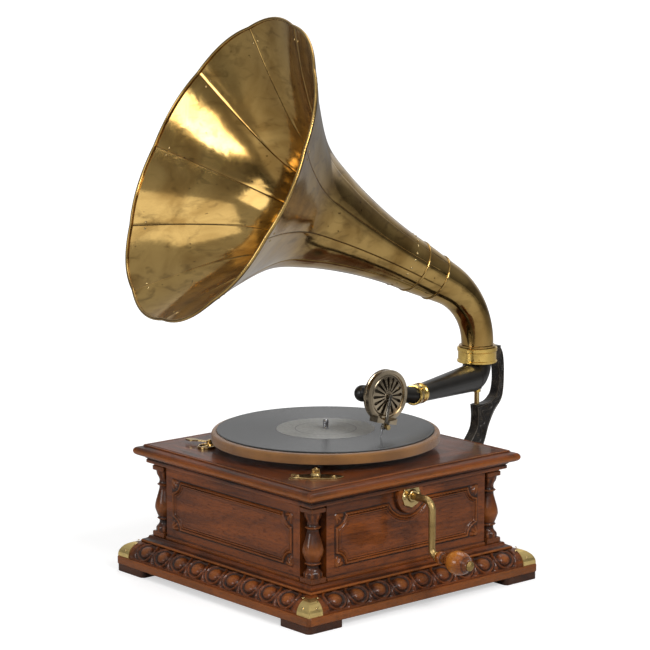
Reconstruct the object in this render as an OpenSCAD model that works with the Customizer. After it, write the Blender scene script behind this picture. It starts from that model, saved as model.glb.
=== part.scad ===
// Wind-up table gramophone with a petal horn.
// Frame: millimetres, +Z up, the floor at z = 0 under the cabinet's centre, +Y to the back.

/* [Cabinet] */

// Width across the faces of the panels, which the whole case follows
panel_across = 279; // [260:0.5:290]
// Height of the corner feet
foot_h = 8; // [4:0.5:16]
// Side of each square foot
foot_w = 50; // [30:1:70]
// Thickness of the base slab
slab_h = 9.6; // [6:0.1:16]
// How far the slab stands out of the base moulding
slab_out = 2.95; // [0:0.05:10]
// Height of the base moulding
base_h = 17.3; // [10:0.1:30]
// Breadth of the base moulding, from the ledge to its foot
base_out = 18.15; // [10:0.05:30]
// Height of the ledge
ledge_h = 7.7; // [4:0.1:14]
// How far the ledge's top stands out of the panels
ledge_top_out = 6.2; // [2:0.1:12]
// How far the ledge's foot stands out of its top
ledge_foot_out = 6.4; // [2:0.1:12]
// Thickness of the panels
panel_t = 10; // [5:0.5:15]
// Height of the panels and columns
panel_h = 86.1; // [60:0.1:120]
// Plain border beside and above the carved frame on a panel
carved_border = [12, 13.55]; // [4:0.05:30]
// Breadth of the carved frame's rim
carved_rim = 8; // [3:0.5:14]
// Radius of the carved leaf corners
leaf_r = 14; // [6:1:24]
// How far the carved frame stands out of the panel
carved_out = 2.5; // [1:0.5:4]
// Radius of the carved arch round the crank
arch_r = 32; // [26:1:40]
// How far each column's axis lies inside the faces of the panels
column_in = 7.5; // [4:0.5:12]
// Side of a column's foot block
column_foot = 21.4; // [16:0.1:26]
// Gap between a column's foot block and the end of a panel
column_gap = 2.3; // [0.3:0.1:6]
// Length of each post behind the end of a panel
post_l = 10; // [6:0.5:20]
// Height of the frieze
frieze_h = 7.8; // [5:0.1:12]
// How far the frieze stands out of the panels
frieze_out = 7.5; // [2:0.1:15]
// How far the top board's rounded nose stands out of the frieze
board_out = 11; // [4:0.5:20]
// Thickness of the top board
board_h = 13.8; // [10:0.1:20]
// Length of each arm of a brass corner guard
guard_w = 20; // [12:1:30]
// Thickness of the corner guards
guard_t = 1.2; // [0.6:0.1:2]

/* [Turntable] */

// Diameter over the felt of the platter
platter_d = 262.4; // [250:0.1:280]
// Height of the platter's lower edge over the top board
platter_up = 9.4; // [5:0.1:14]
// Height of the record's top over the top board
record_up = 22.4; // [18:0.1:28]
// Diameter of the record
record_d = 250; // [175:1:300]
// Thickness of the record
record_t = 1.8; // [1.2:0.1:3]
// Thickness of the felt
felt_t = 1; // [0.5:0.1:2]
// Thickness of the platter's wall
platter_wall = 2.7; // [1.5:0.1:4]
// Diameter of the spindle in its bearings
spindle_d = 8; // [6:0.1:10]
// Diameter of the spindle's pin in the record
spindle_pin_d = 7; // [6:0.1:7.2]
// How far the spindle's tip stands over the record
spindle_out = 10.8; // [9:0.1:16]

/* [Crank] */

// How far the crank's shaft lies under the frieze
crank_drop = 8.4; // [4:0.1:14]
// Diameter of the crank's rod
crank_d = 8; // [6:0.5:10]
// How far the crank's arm stands out of the panel's face
crank_out = 39.5; // [25:0.5:55]
// Throw of the crank
crank_throw = 61.3; // [40:0.1:90]
// Radius of the rod's bends
crank_bend = 8; // [5:1:12]
// Length of the turned knob
knob_l = 50; // [35:1:70]
// Largest diameter of the turned knob
knob_d = 27; // [20:1:34]
// Diameter of the escutcheon
escutcheon_d = 28; // [22:1:34]

/* [Back bracket and collar] */

// Distance of the horn's upright axis behind the centre
pivot_y = 241; // [220:1:260]
// Thickness of the cast bracket
bracket_t = 11; // [8:1:14]
// Diameter of the brass collar
collar_d = 48.5; // [40:0.5:60]
// Height of the collar's lower edge over the top board
collar_up = 70.7; // [62:0.1:80]
// Height of the collar
collar_h = 18.5; // [12:0.5:30]
// Diameter of the pin under the tone arm
pin_d = 6.2; // [4:0.1:8]

/* [Tone arm] */

// Diameter of the arm's elbow
arm_d = 34; // [28:0.5:36]
// Diameter of the arm's small end
arm_tip_d = 20; // [16:0.5:24]
// Radius of the elbow's bend
arm_bend = 17.3; // [17.2:0.1:25]
// Length from the upright axis to the arm's joint
arm_l = 162.6; // [140:0.1:180]
// Turn of the arm from straight ahead
arm_yaw = 20.5; // [0:0.5:35]
// Rise of the arm towards its tip
arm_rise = 2.33; // [0:0.01:4]
// Diameter of the gooseneck
neck_d = 19; // [15:0.5:22]
// Wall of the arm and gooseneck
arm_wall = 1.5; // [1:0.1:3]
// Diameter of the brass ferrules
ferrule_d = 24; // [22:0.5:28]

/* [Sound box] */

// Place across the record of the sound box's centre, on its back face
box_place = [70, 23.7]; // [0:0.1:100]
// Height of the sound box's centre over the record
box_up = 46.8; // [42:0.1:56]
// Diameter of the sound box
box_d = 59; // [50:1:70]
// Depth of the sound box's housing
box_h = 10; // [6:0.5:14]
// Lean of the stylus bar from upright
box_lean = 13.5; // [0:0.5:20]
// Number of slots in the grille
grille_slots = 16; // [8:1:24]
// Height of the needle's point over the record
needle_gap = 0.3; // [0.1:0.1:1]

/* [Horn] */

// Turn of the horn from straight ahead
horn_yaw = 12.35; // [-75:0.05:75]
// Radius of the horn's elbow
horn_bend = 87.7; // [60:0.1:120]
// Length of the horn past its elbow
horn_l = 334; // [280:1:380]
// Elevation at the end of the elbow
horn_lift = 28.5; // [10:0.1:50]
// Elevation at the mouth
mouth_lift = 25.3; // [10:0.1:50]
// Radius of the mouth
mouth_r = 183; // [150:0.1:210]
// Number of petals
petals = 11; // [7:1:15]
// Rise of each petal between its seams, as a share of the radius
petal_rise = 0.009; // [0:0.001:0.05]
// Thickness of the sheet
sheet_t = 1.2; // [0.8:0.1:2]
// Diameter of the wired rim
wire_d = 4.4; // [3:0.1:6]

/* [Top fittings] */

// Distance of the speed knob from the spindle
speed_r = 146; // [140:1:152]
// Length and breadth of the speed plate
speed_plate_size = [57, 20]; // [10:1:70]
// Distance of the brake's pivot from the spindle
brake_r = 134; // [132:0.5:140]

/* [Motor] */

// Length and breadth of the motor plates
plate_size = [170, 110]; // [80:1:200]
// Thickness of the motor plates
plate_t = 3; // [2:0.5:5]
// Height of the lower motor plate's underside over the base slab
low_plate_up = 10.4; // [8:0.1:14]
// Distance of the barrel's axis from the spindle
barrel_x = 64; // [60:1:70]
// Diameter of the spring barrel
barrel_d = 80; // [60:1:84]
// Number of turns of the mainspring
spring_turns = 6; // [4:1:8]
// Height of the governor's shaft over the lower motor plate
governor_up = 15; // [13:1:19]

/* [Hidden] */
$fn = 64;

// Fits: a running shaft in its bore, and the air between two pieces that pass each other
fit = 0.05;
air = 0.3;

// Colours
wood = [0.45, 0.16, 0.07];
dark_wood = [0.25, 0.09, 0.05];
brass = [0.85, 0.68, 0.38];
aged_brass = [0.72, 0.50, 0.28];
iron = [0.08, 0.08, 0.09];
steel = [0.55, 0.56, 0.58];
bronze = [0.42, 0.34, 0.26];
felt = [0.70, 0.48, 0.28];

// Heights up the cabinet
slab_z = foot_h;
base_z = slab_z + slab_h;
ledge_z = base_z + base_h;
panel_z = ledge_z + ledge_h;
frieze_z = panel_z + panel_h;
board_z = frieze_z + frieze_h;
board_top = board_z + board_h;

// Heights of what stands on the case
crank_z = frieze_z - crank_drop;
platter_z = board_top + platter_up;
record_z = board_top + record_up;
spindle_top = record_z + spindle_out;
collar_z = board_top + collar_up;
arm_z = collar_z - arm_bend;
box_at = [box_place.x, box_place.y, record_z + box_up];
// The collar's inner ledge, which parts the tone arm from the horn
ledge_low = collar_z + 8;
ledge_high = ledge_low + 1.5;

// Breadths of the case, from the faces of its panels outwards and inwards
panel_face = panel_across / 2;
panel_back = panel_face - panel_t;
ledge_top_half = panel_face + ledge_top_out;
ledge_half = ledge_top_half + ledge_foot_out;
base_half = ledge_half + base_out;
slab_w = 2 * (base_half + slab_out);
bottom_w = 2 * panel_back - 9;
frieze_half = panel_face + frieze_out;
board_half = frieze_half + board_out;
column_at = panel_face - column_in;
panel_w = 2 * column_at - column_foot - 2 * column_gap;
carved_frame = [panel_w, panel_h] - 2 * carved_border;
crank_x = panel_face + crank_out;

// Motor places: the second wheel meshes with the barrel's wheel and with the spindle's pinion
great_r = 44;
wheel_r = 34;
pinion_r = 5.7;
worm_wheel_r = 22;
worm_r = 3.5;
ratchet_r = 13;
ratchet_t = 2.7;
crown_r = 22;
crown_h = 4;
crank_pinion_r = 6;
second_at = let (to_spindle = wheel_r + pinion_r + air, to_barrel = great_r + pinion_r + air,
                 x = (barrel_x ^ 2 + to_spindle ^ 2 - to_barrel ^ 2) / (2 * barrel_x))
            [x, sqrt(to_spindle ^ 2 - x ^ 2)];
governor_y = -(worm_wheel_r + worm_r + air);
// Heights in the motor: up from the lower plate, and down from the crank's pinion
low_plate_z = base_z + low_plate_up;
low_plate_top = low_plate_z + plate_t;
wheel_z = low_plate_top + 21;
great_z = low_plate_top + 31;
governor_z = low_plate_top + governor_up;
crown_z = crank_z - crank_pinion_r - air - crown_h;
high_plate_top = crown_z - ratchet_t - air;
high_plate_z = high_plate_top - plate_t;
barrel_top = high_plate_z - 4;
plate_x = 25;
pillar_at = plate_size / 2 - [7, 7];
bolt_at = pillar_at - [0, 14];
// Where the winding shaft ends and the crank's rod begins
shaft_joint = panel_back - 7.5;

// Speed and brake places
speed_at = [speed_r * cos(-45), speed_r * sin(-45)];
speed_plate_at = speed_r + 5;
stud_at = [72, -46];
reach = speed_at - stud_at;
reach_turn = atan2(reach.y, reach.x);
// Half the breadth of the speed knob's finger and of the regulator's tail beside it
finger_half = 1.6;

// Horn line: straight, then the elbow, then the long gentle curve of the bell
horn_start = collar_z + collar_h;
horn_stub = 3.5;
elbow_end = horn_stub + horn_bend * (90 - horn_lift) * PI / 180;
horn_total = elbow_end + horn_l;
joint_s = 113.6;
band_s = [joint_s, 147.1];
horn_radii = [
  [0, 19.2], [40, 20.2], [80, 23.4], [130, 29.3], [181, 34.8], [233, 45], [285, 60.6], [337, 84.2],
  [388.5, 132.4], [horn_total, mouth_r]
];

// Shapes used in several places

module tube(r, bore, h) {
  difference() {
    cylinder(r = r, h = h);
    translate([0, 0, -1]) cylinder(r = bore, h = h + 2);
  }
}

// Turns its children, drawn along +Z, to run from one point towards another
module aim(from, to) {
  v = to - from;
  translate(from) rotate([0, acos(v.z / norm(v)), atan2(v.y, v.x)]) children();
}

module rod(from, to, r, r_end = undef) {
  aim(from, to) cylinder(h = norm(to - from), r1 = r, r2 = is_undef(r_end) ? r : r_end);
}

module rounded(w, d, r) {
  square([w - 2 * r, d], center = true);
  square([w, d - 2 * r], center = true);
  for (x = [-1, 1], y = [-1, 1]) translate([x * (w / 2 - r), y * (d / 2 - r)]) circle(r);
}

module four_corners(x, y) {
  for (a = [-1, 1], b = [-1, 1]) translate([a * x, b * y]) children();
}

// A square block whose four sides all follow one outline of [half width, height] points
module mitred(outline) {
  points = concat(outline, [for (i = [len(outline) - 1:-1:0]) [-outline[i].x, outline[i].y]]);
  length = 2 * max([for (p = outline) p.x]) + 2;
  intersection() {
    rotate([90, 0, 0]) linear_extrude(length, center = true) polygon(points);
    rotate([90, 0, 90]) linear_extrude(length, center = true) polygon(points);
  }
}

module gear(r, teeth, h, depth = 1.6) {
  pitch = 360 / teeth;
  linear_extrude(h) polygon([
    for (i = [0:teeth - 1], p = [[-0.3, r - depth], [-0.14, r], [0.14, r], [0.3, r - depth]])
      p[1] * [cos((i + p[0]) * pitch), sin((i + p[0]) * pitch)]
  ]);
}

// Points on a quarter circle from one direction to another
function arc(centre, r, from, to, steps = 6) =
  [for (i = [0:steps]) let (a = from + (to - from) * i / steps) centre + r * [cos(a), sin(a)]];

// A smooth line through hand-placed points
function smooth(p, steps = 4) = concat([
  for (i = [0:len(p) - 2], j = [0:steps - 1])
    let (a = p[max(i - 1, 0)], b = p[i], c = p[i + 1], d = p[min(i + 2, len(p) - 1)], t = j / steps)
    0.5 * (2 * b + (c - a) * t + (2 * a - 5 * b + 4 * c - d) * t ^ 2 + (3 * b - a - 3 * c + d) * t ^ 3)
], [p[len(p) - 1]]);

// A smooth value read from a table of [place, value] rows
function slope_at(t, i) =
  let (a = t[max(i - 1, 0)], b = t[min(i + 1, len(t) - 1)]) (b[1] - a[1]) / (b[0] - a[0]);
function row_of(t, s, i = 0) = i >= len(t) - 2 || s < t[i + 1][0] ? i : row_of(t, s, i + 1);
function value_at(t, s) =
  let (i = row_of(t, s), h = t[i + 1][0] - t[i][0], u = (s - t[i][0]) / h,
       a = t[i][1], b = t[i + 1][1], m = slope_at(t, i) * h, n = slope_at(t, i + 1) * h)
  a + m * u + (3 * (b - a) - 2 * m - n) * u ^ 2 + (m + n - 2 * (b - a)) * u ^ 3;

// Cabinet

function base_outline(out) = concat(
  [[base_half + out, 0], [base_half + out, 1.4]],
  [for (i = [1:8]) let (a = 90 * i / 8, rise = base_h - 1.4)
    [ledge_half + base_out * cos(a) + out, 1.4 + rise * sin(a)]]
);

module corner_feet() {
  color(dark_wood)
  four_corners((slab_w - foot_w) / 2 - 0.6, (slab_w - foot_w) / 2 - 0.6)
    linear_extrude(foot_h) rounded(foot_w, foot_w, 5);
}

module base_slab() {
  color(wood)
  translate([0, 0, slab_z]) difference() {
    linear_extrude(slab_h) rounded(slab_w, slab_w, 4.5);
    translate([-bottom_w / 2, -bottom_w / 2, -1]) cube([bottom_w, bottom_w, slab_h + 2]);
  }
}

module bottom_board() {
  t = 8;
  color(dark_wood)
  translate([-bottom_w / 2, -bottom_w / 2, base_z - t]) cube([bottom_w, bottom_w, t]);
}

module base_moulding() {
  color(wood)
  translate([0, 0, base_z]) difference() {
    mitred(base_outline(0));
    translate([-panel_back, -panel_back, -1]) cube([2 * panel_back, 2 * panel_back, base_h + 2]);
  }
}

module corner_guards() {
  middle = base_half + guard_t - guard_w / 2;
  color(brass)
  translate([0, 0, base_z]) intersection() {
    difference() {
      mitred(base_outline(guard_t));
      mitred(base_outline(0));
    }
    four_corners(middle, middle)
      translate([-guard_w / 2, -guard_w / 2, 0]) cube([guard_w, guard_w, base_h - 0.6]);
  }
}

module ledge_moulding() {
  low = ledge_half;
  high = ledge_top_half;
  color(wood)
  translate([0, 0, ledge_z]) difference() {
    mitred(concat(
      [[low, 0], [low, 1.2]],
      [for (i = [0:5]) let (a = 90 * i / 5) [low - 1 - (low - high - 2) * sin(a), 6 - 4.4 * cos(a)]],
      [[high, 6.2], [high, 7.1], [high - 0.8, ledge_h]]
    ));
    translate([-panel_back, -panel_back, -1]) cube([2 * panel_back, 2 * panel_back, ledge_h + 2]);
  }
}

// The carved frame's shape on a panel, drawn in by a margin
module carved_shape(margin, arch) {
  difference() {
    square([carved_frame.x - 2 * margin, carved_frame.y - 2 * margin], center = true);
    four_corners(carved_frame.x / 2, carved_frame.y / 2) circle(leaf_r + margin);
    if (arch) translate([0, panel_h / 2 + 1]) circle(arch_r + margin);
  }
}

// One panel in its own frame: its face on y = 0, its length along X
module panel(arch = false) {
  rotate([90, 0, 0]) difference() {
    union() {
      translate([-panel_w / 2, 0, -panel_t]) cube([panel_w, panel_h, panel_t]);
      translate([0, panel_h / 2]) linear_extrude(carved_out) difference() {
        carved_shape(0, arch);
        carved_shape(carved_rim, arch);
      }
      translate([-panel_w / 2, 0, 0]) cube([panel_w, 3, 1.6]);
    }
    translate([0, panel_h / 2, -1.5]) linear_extrude(5) carved_shape(carved_rim, arch);
  }
}

module front_panel() {
  color(wood) translate([0, -panel_face, panel_z]) panel();
}

module back_panel() {
  color(wood) difference() {
    translate([0, panel_face, panel_z]) rotate(180) panel();
    bracket_fixings(screw_d / 2);
    translate([-flange_w / 2, panel_face, flange_z]) cube([flange_w, 5, flange_h]);
  }
}

module left_panel() {
  color(wood) translate([-panel_face, 0, panel_z]) rotate(-90) panel();
}

module right_panel() {
  color(wood) difference() {
    union() {
      translate([panel_face, 0, panel_z]) rotate(90) panel(arch = true);
      translate([panel_face, 0, crank_z]) rotate([90, 0, 90]) intersection() {
        cylinder(d = escutcheon_d + 12, h = escutcheon_x - panel_face);
        translate([-30, -30, -1]) cube([60, 30 + frieze_z - crank_z, 20]);
      }
    }
    translate([panel_back - 1, 0, crank_z]) rotate([0, 90, 0]) cylinder(r = 8, h = 30);
    escutcheon_fixings(screw_d / 2);
  }
}

module corner_posts() {
  inner = panel_w / 2 - post_l;
  color(dark_wood)
  for (a = [0:90:270]) rotate(a) translate([0, 0, base_z]) union() {
    h = board_z - base_z;
    translate([inner, inner, 0]) cube([post_l, panel_back - inner, h]);
    translate([inner, inner, 0]) cube([panel_back - inner, post_l, h]);
  }
}

module corner_columns() {
  half = column_foot / 2;
  // Heights of the foot block, the upper head block and the turned part's end
  foot = 5.8;
  head = panel_h - 2.5;
  turned_top = head - 5.4;
  stretch = (turned_top - 5) / 73.2;
  outline = smooth([for (p = [[10, 5], [9.9, 10.6], [7.2, 14.6], [6.4, 17.8], [7, 19.9], [9, 21.3], [7.8, 23],
                    [9, 26.4], [11.2, 32.4], [11.5, 36], [10.6, 41.4], [8.3, 49.4], [6.45, 56.4],
                    [6.6, 59.8], [8.7, 61.3], [6.8, 63], [6.1, 66.3], [6.7, 69.4], [8.6, 73.4],
                    [9.8, 78.2]]) [p[0], 5 + (p[1] - 5) * stretch]], 3);
  color(wood)
  four_corners(column_at, column_at) translate([0, 0, panel_z]) union() {
    translate([-half, -half, 0]) cube([2 * half, 2 * half, foot]);
    rotate_extrude() polygon(concat([[0, 5]], outline, [[0, turned_top]]));
    translate([0.4 - half, 0.4 - half, turned_top])
      cube([2 * half - 0.8, 2 * half - 0.8, head - turned_top]);
    translate([-9, -9, head]) cube([18, 18, panel_h - head]);
  }
}

module frieze_frame() {
  half = frieze_half;
  color(wood)
  translate([0, 0, frieze_z]) difference() {
    mitred([[half - 1, 0], [half, 1], [half, 5.6], [half + 1.6, frieze_h]]);
    translate([-panel_back, -panel_back, -1]) cube([2 * panel_back, 2 * panel_back, frieze_h + 2]);
  }
}

module top_board() {
  half = board_half;
  color(wood)
  difference() {
    translate([0, 0, board_z])
      mitred(concat([[half - 8.5, 0], [half - 3.5, 1.2]], arc([half - 5, 6.2], 5, -65, 65, 6),
                    [[half - 8.2, 12], [half - 9.6, 12.4], [half - 11, board_h]]));
    translate([0, 0, board_z - 1]) cylinder(r = 9, h = board_h + 2);
    translate([speed_at.x, speed_at.y, board_z - 1]) cylinder(r = 3.5, h = board_h + 2);
    translate([plate_x, 0, board_z - 1]) four_corners(bolt_at.x, bolt_at.y) cylinder(r = 2.5, h = 9);
    top_fixings(screw_d / 2);
  }
}

// Motor

module plate_outline() {
  translate([plate_x, 0]) rounded(plate_size.x, plate_size.y, 8);
}

module arbor_holes() {
  cylinder(d = spindle_d + 2 * fit, h = 8);
  translate([barrel_x, 0]) cylinder(r = 4 + fit, h = 8);
  translate(second_at) cylinder(r = 2 + fit, h = 8);
}

module motor_top_plate() {
  color(steel)
  difference() {
    union() {
      translate([0, 0, high_plate_z]) linear_extrude(plate_t) plate_outline();
      translate([barrel_x + 28, -8, high_plate_top - 0.5]) cube([6, 16, crank_z + 7.7 - high_plate_top]);
    }
    translate([0, 0, high_plate_z - 1]) arbor_holes();
    translate([plate_x, 0, high_plate_z - 1]) four_corners(bolt_at.x, bolt_at.y) cylinder(r = 2.5, h = 8);
    translate([barrel_x + 26, 0, crank_z]) rotate([0, 90, 0]) cylinder(d = crank_d + 2 * fit, h = 10);
  }
}

module motor_bottom_plate() {
  color(steel)
  difference() {
    translate([0, 0, low_plate_z]) linear_extrude(plate_t) plate_outline();
    translate([0, 0, low_plate_z - 1]) arbor_holes();
  }
}

module motor_pillars() {
  color(steel)
  translate([plate_x, 0, low_plate_top]) four_corners(pillar_at.x, pillar_at.y)
    cylinder(r = 4.5, h = high_plate_z - low_plate_top);
}

module motor_spacers() {
  color(iron)
  translate([plate_x, 0, high_plate_top]) four_corners(bolt_at.x, bolt_at.y)
    tube(6, 2.5, board_z - high_plate_top);
}

module motor_bolts() {
  color(steel)
  translate([plate_x, 0, high_plate_z]) four_corners(bolt_at.x, bolt_at.y) {
    translate([0, 0, -3.5]) cylinder(r = 4.5, h = 3.5);
    cylinder(r = 2.5, h = board_z + 8 - high_plate_z);
  }
}

module spring_barrel() {
  wall = 1.5;
  color(brass)
  translate([barrel_x, 0, great_z]) difference() {
    union() {
      gear(great_r, 88, 4);
      cylinder(d = barrel_d, h = barrel_top - great_z);
    }
    translate([0, 0, 4]) cylinder(d = barrel_d - 2 * wall, h = barrel_top - great_z - 4 - wall);
    translate([0, 0, -1]) cylinder(r = 4 + fit, h = 60);
  }
}

module mainspring() {
  strip = 1;
  inner = 11;
  outer = barrel_d / 2 - 1.5;
  steps = 16 * spring_turns;
  function spiral(out) = [for (i = [0:steps])
    let (a = i * 22.5, r = inner + (outer - strip - inner) * i / steps + out) r * [cos(a), sin(a)]];
  outside = spiral(strip);
  color(steel)
  translate([barrel_x, 0, great_z + 5.5]) linear_extrude(barrel_top - great_z - 8.5)
    polygon(concat(spiral(0), [for (i = [steps:-1:0]) outside[i]]));
}

module winding_arbor() {
  color(steel)
  translate([barrel_x, 0, 0]) {
    translate([0, 0, low_plate_z + 0.5]) cylinder(r = 4, h = crown_z + 2 - low_plate_z - 0.5);
    translate([0, 0, great_z + 6]) cylinder(r = 9, h = barrel_top - great_z - 10);
  }
}

module crown_wheel() {
  color(brass)
  translate([barrel_x, 0, crown_z]) difference() {
    union() {
      cylinder(r = crown_r, h = 2);
      for (i = [0:27]) rotate(i * 360 / 28)
        translate([crown_r - 6, -0.9, 1.5]) cube([5.8, 1.8, crown_h - 1.5]);
    }
    translate([0, 0, -1]) cylinder(r = 4, h = 6);
  }
}

module ratchet_wheel() {
  teeth = 18;
  color(steel)
  translate([barrel_x, 0, high_plate_top + air]) difference() {
    linear_extrude(ratchet_t) polygon([for (i = [0:teeth - 1], p = [[0, ratchet_r], [0.08, ratchet_r - 2.4]])
      p[1] * [cos((i + p[0]) * 360 / teeth), sin((i + p[0]) * 360 / teeth)]]);
    translate([0, 0, -1]) cylinder(r = 4, h = 6);
  }
}

module ratchet_click() {
  color(steel)
  translate([barrel_x, 0, high_plate_top]) rotate(-75) translate([ratchet_r + 8, 0, 0]) {
    linear_extrude(2.4) {
      circle(3.4);
      polygon([[-1, 3.3], [-7, 5.6], [-7.4, 4.2], [-2.5, -2]]);
    }
    cylinder(r = 1.6, h = crown_z - high_plate_top - air);
  }
}

module second_wheel() {
  color(brass)
  translate(second_at) {
    translate([0, 0, low_plate_z + 0.5]) cylinder(r = 2, h = high_plate_top - low_plate_z - 1);
    translate([0, 0, low_plate_top + air]) cylinder(r = 3, h = high_plate_z - low_plate_top - 2 * air);
    translate([0, 0, wheel_z]) gear(wheel_r, 68, 2.5);
    translate([0, 0, great_z - 2]) gear(pinion_r, 12, 8);
  }
}

module spindle() {
  r = spindle_d / 2;
  pin = spindle_pin_d / 2;
  color(steel) {
    translate([0, 0, low_plate_z + 0.5]) cylinder(r = r, h = platter_top - low_plate_z - 0.5);
    translate([0, 0, wheel_z - 2]) gear(pinion_r, 12, 7);
    translate([0, 0, governor_z - 3]) gear(worm_wheel_r, 44, 6, 1);
    rotate_extrude() polygon(concat(
      [[0, platter_top - 1.9], [pin, platter_top - 1.9], [pin, record_z + 1]],
      [for (i = [0:3], p = [[pin - 0.5, 1.6], [pin - 0.5, 2.2], [pin, 2.8], [pin, 3.4]])
        [p.x, record_z + p.y + i * 1.8]],
      [[pin - 1.2, spindle_top], [0, spindle_top]]
    ));
  }
}

module governor_shaft() {
  color(steel)
  translate([0, governor_y, governor_z]) rotate([0, 90, 0]) {
    translate([0, 0, -46]) cylinder(r = 1.5, h = 106);
    translate([0, 0, -8]) cylinder(r = worm_r, h = 16);
    translate([0, 0, 14]) cylinder(r = 5, h = 3);
    translate([0, 0, 34]) cylinder(r = 5, h = 6);
    translate([0, 0, 40]) cylinder(r = 11, h = 2);
  }
}

// Things set at thirds of a turn round the governor's shaft
module round_governor() {
  translate([0, governor_y, governor_z]) for (a = [0:120:240]) rotate([a, 0, 0]) children();
}

module governor_springs() {
  color(steel)
  round_governor() rotate([90, 0, 0]) linear_extrude(5, center = true)
    polygon([[17, 4], [17, 3.3], [25.5, 6.5], [34, 3.3], [34, 4], [25.5, 7.2]]);
}

module governor_weights() {
  color(brass)
  round_governor() difference() {
    translate([22.5, 0, 8.8]) rotate([0, 90, 0]) cylinder(r = 3.8, h = 6);
    rotate([90, 0, 0]) linear_extrude(9, center = true)
      polygon([[17, 4], [17, -3], [34, -3], [34, 4], [25.5, 7.2]]);
  }
}

module governor_bearings() {
  color(brass)
  for (x = [-47, 55]) difference() {
    translate([x, governor_y - 5, low_plate_top]) cube([6, 10, 20]);
    translate([x - 1, governor_y, governor_z]) rotate([0, 90, 0]) cylinder(r = 1.5 + fit, h = 8);
  }
}

module regulator_arm() {
  color(brass)
  translate([stud_at.x, stud_at.y, 0]) {
    translate([0, 0, low_plate_top + air]) cylinder(r = 3.5, h = 20);
    translate([0, 0, governor_z - 1.5]) {
      rotate(reach_turn) translate([0, finger_half + 2 * air, 0]) cube([33, 2 * finger_half, 3]);
      rotate(153) translate([0, -finger_half, 0]) cube([27, 2 * finger_half, 3]);
    }
    rod([-24.2, 13, governor_z], [-26.8, 13, governor_z], 2.6);
  }
}

module winding_shaft() {
  color(steel)
  translate([0, 0, crank_z]) rotate([0, 90, 0]) difference() {
    union() {
      translate([0, 0, barrel_x + 8]) cylinder(d = crank_d, h = shaft_joint - barrel_x - 8);
      translate([0, 0, shaft_joint - 10]) cylinder(r = 7, h = 24);
      translate([0, 0, barrel_x + crown_r - 10]) gear(crank_pinion_r, 12, 10);
    }
    translate([0, 0, shaft_joint]) cylinder(d = crank_d, h = 20);
  }
}

// Crank

escutcheon_x = panel_face + 5;
escutcheon_up = frieze_z - crank_z - 0.2;
pin_z = crank_z - crank_throw;
knob_x = crank_x + crank_bend + 2;

module crank_bend_piece(turn) {
  rotate([90, turn, 0]) rotate_extrude(angle = 90) translate([crank_bend, 0]) circle(d = crank_d);
}

module crank_handle() {
  color(brass) {
    rod([shaft_joint, 0, crank_z], [crank_x - crank_bend, 0, crank_z], crank_d / 2);
    translate([crank_x - crank_bend, 0, crank_z - crank_bend]) crank_bend_piece(0);
    rod([crank_x, 0, pin_z + crank_bend], [crank_x, 0, crank_z - crank_bend], crank_d / 2);
    translate([crank_x + crank_bend, 0, pin_z + crank_bend]) crank_bend_piece(180);
    rod([crank_x + crank_bend, 0, pin_z], [knob_x - air, 0, pin_z], 5.5);
    rod([knob_x - 1, 0, pin_z], [knob_x + knob_l + air, 0, pin_z], 3);
    translate([knob_x + knob_l + air, 0, pin_z]) rotate([0, 90, 0]) rotate_extrude()
      polygon([[0, 0], [5.5, 0], [5.5, 1.2], [4.4, 2.6], [2, 3.4], [0, 3.5]]);
    rod([escutcheon_x + 5.2, 0, crank_z], [escutcheon_x + 9.2, 0, crank_z], 5.5);
  }
}

module crank_knob() {
  big = knob_d / 2;
  outline = smooth([[5.6, 0], [7, 3], [7.2, 6], [5.6, 9.5], [5.2, 13], [7, 18], [11.6, 24], [big, 31],
                    [big - 0.6, 37], [10.4, 43], [6.8, 48], [6, knob_l]]);
  color(dark_wood)
  translate([knob_x, 0, pin_z]) rotate([0, 90, 0]) difference() {
    rotate_extrude() polygon(concat([[0, 0]], outline, [[0, knob_l]]));
    translate([0, 0, -1]) cylinder(r = 3 + fit, h = knob_l + 2);
  }
}

// Fixing screws

screw_d = 3;
flange_w = 46;
flange_h = 60;
flange_t = 6;
flange_z = panel_z + panel_h - flange_h - 14;

// One round-headed screw whose head sits on z = 0 and whose shank runs down
module screw(r, length, head) {
  translate([0, 0, -length]) cylinder(r = r, h = length);
  if (head) difference() {
    translate([0, 0, -2.2]) sphere(r = 3.8);
    translate([-5, -5, -8]) cube([10, 10, 8]);
  }
}

module escutcheon_fixings(r, head = false) {
  for (y = [-10.5, 10.5]) translate([escutcheon_x + 2, y, crank_z]) rotate([0, 90, 0]) screw(r, 9, head);
}

module bracket_fixings(r, head = false) {
  for (x = [-17, 17], z = [10, flange_h - 10])
    translate([x, panel_face + flange_t, flange_z + z]) rotate([-90, 0, 0]) screw(r, 14, head);
}

module top_fixings(r, head = false) {
  rotate(-45) translate([speed_plate_at, 0, board_top + 1.5])
    for (y = [-20, 20]) translate([0, y, 0]) screw(r, 8, head);
  rotate(-135) translate([brake_r + 2, 14, board_top + 1.7]) screw(r, 8, head);
}

module wood_screws() {
  color(brass) {
    escutcheon_fixings(screw_d / 2, true);
    bracket_fixings(screw_d / 2, true);
    top_fixings(screw_d / 2, true);
  }
}

module escutcheon() {
  color(brass)
  difference() {
    translate([escutcheon_x, 0, crank_z]) rotate([0, 90, 0]) {
      intersection() {
        cylinder(d = escutcheon_d, h = 2);
        translate([-escutcheon_up, -20, -1]) cube([escutcheon_up + 11, 40, 4]);
      }
      cylinder(r = 6.5, h = 5);
    }
    translate([escutcheon_x - 1, 0, crank_z]) rotate([0, 90, 0]) cylinder(d = crank_d + 2 * fit, h = 10);
    escutcheon_fixings(screw_d / 2);
  }
}

// Turntable

felt_top = record_z - record_t;
platter_r = platter_d / 2 - felt_t;
platter_top = felt_top - felt_t;

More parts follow.
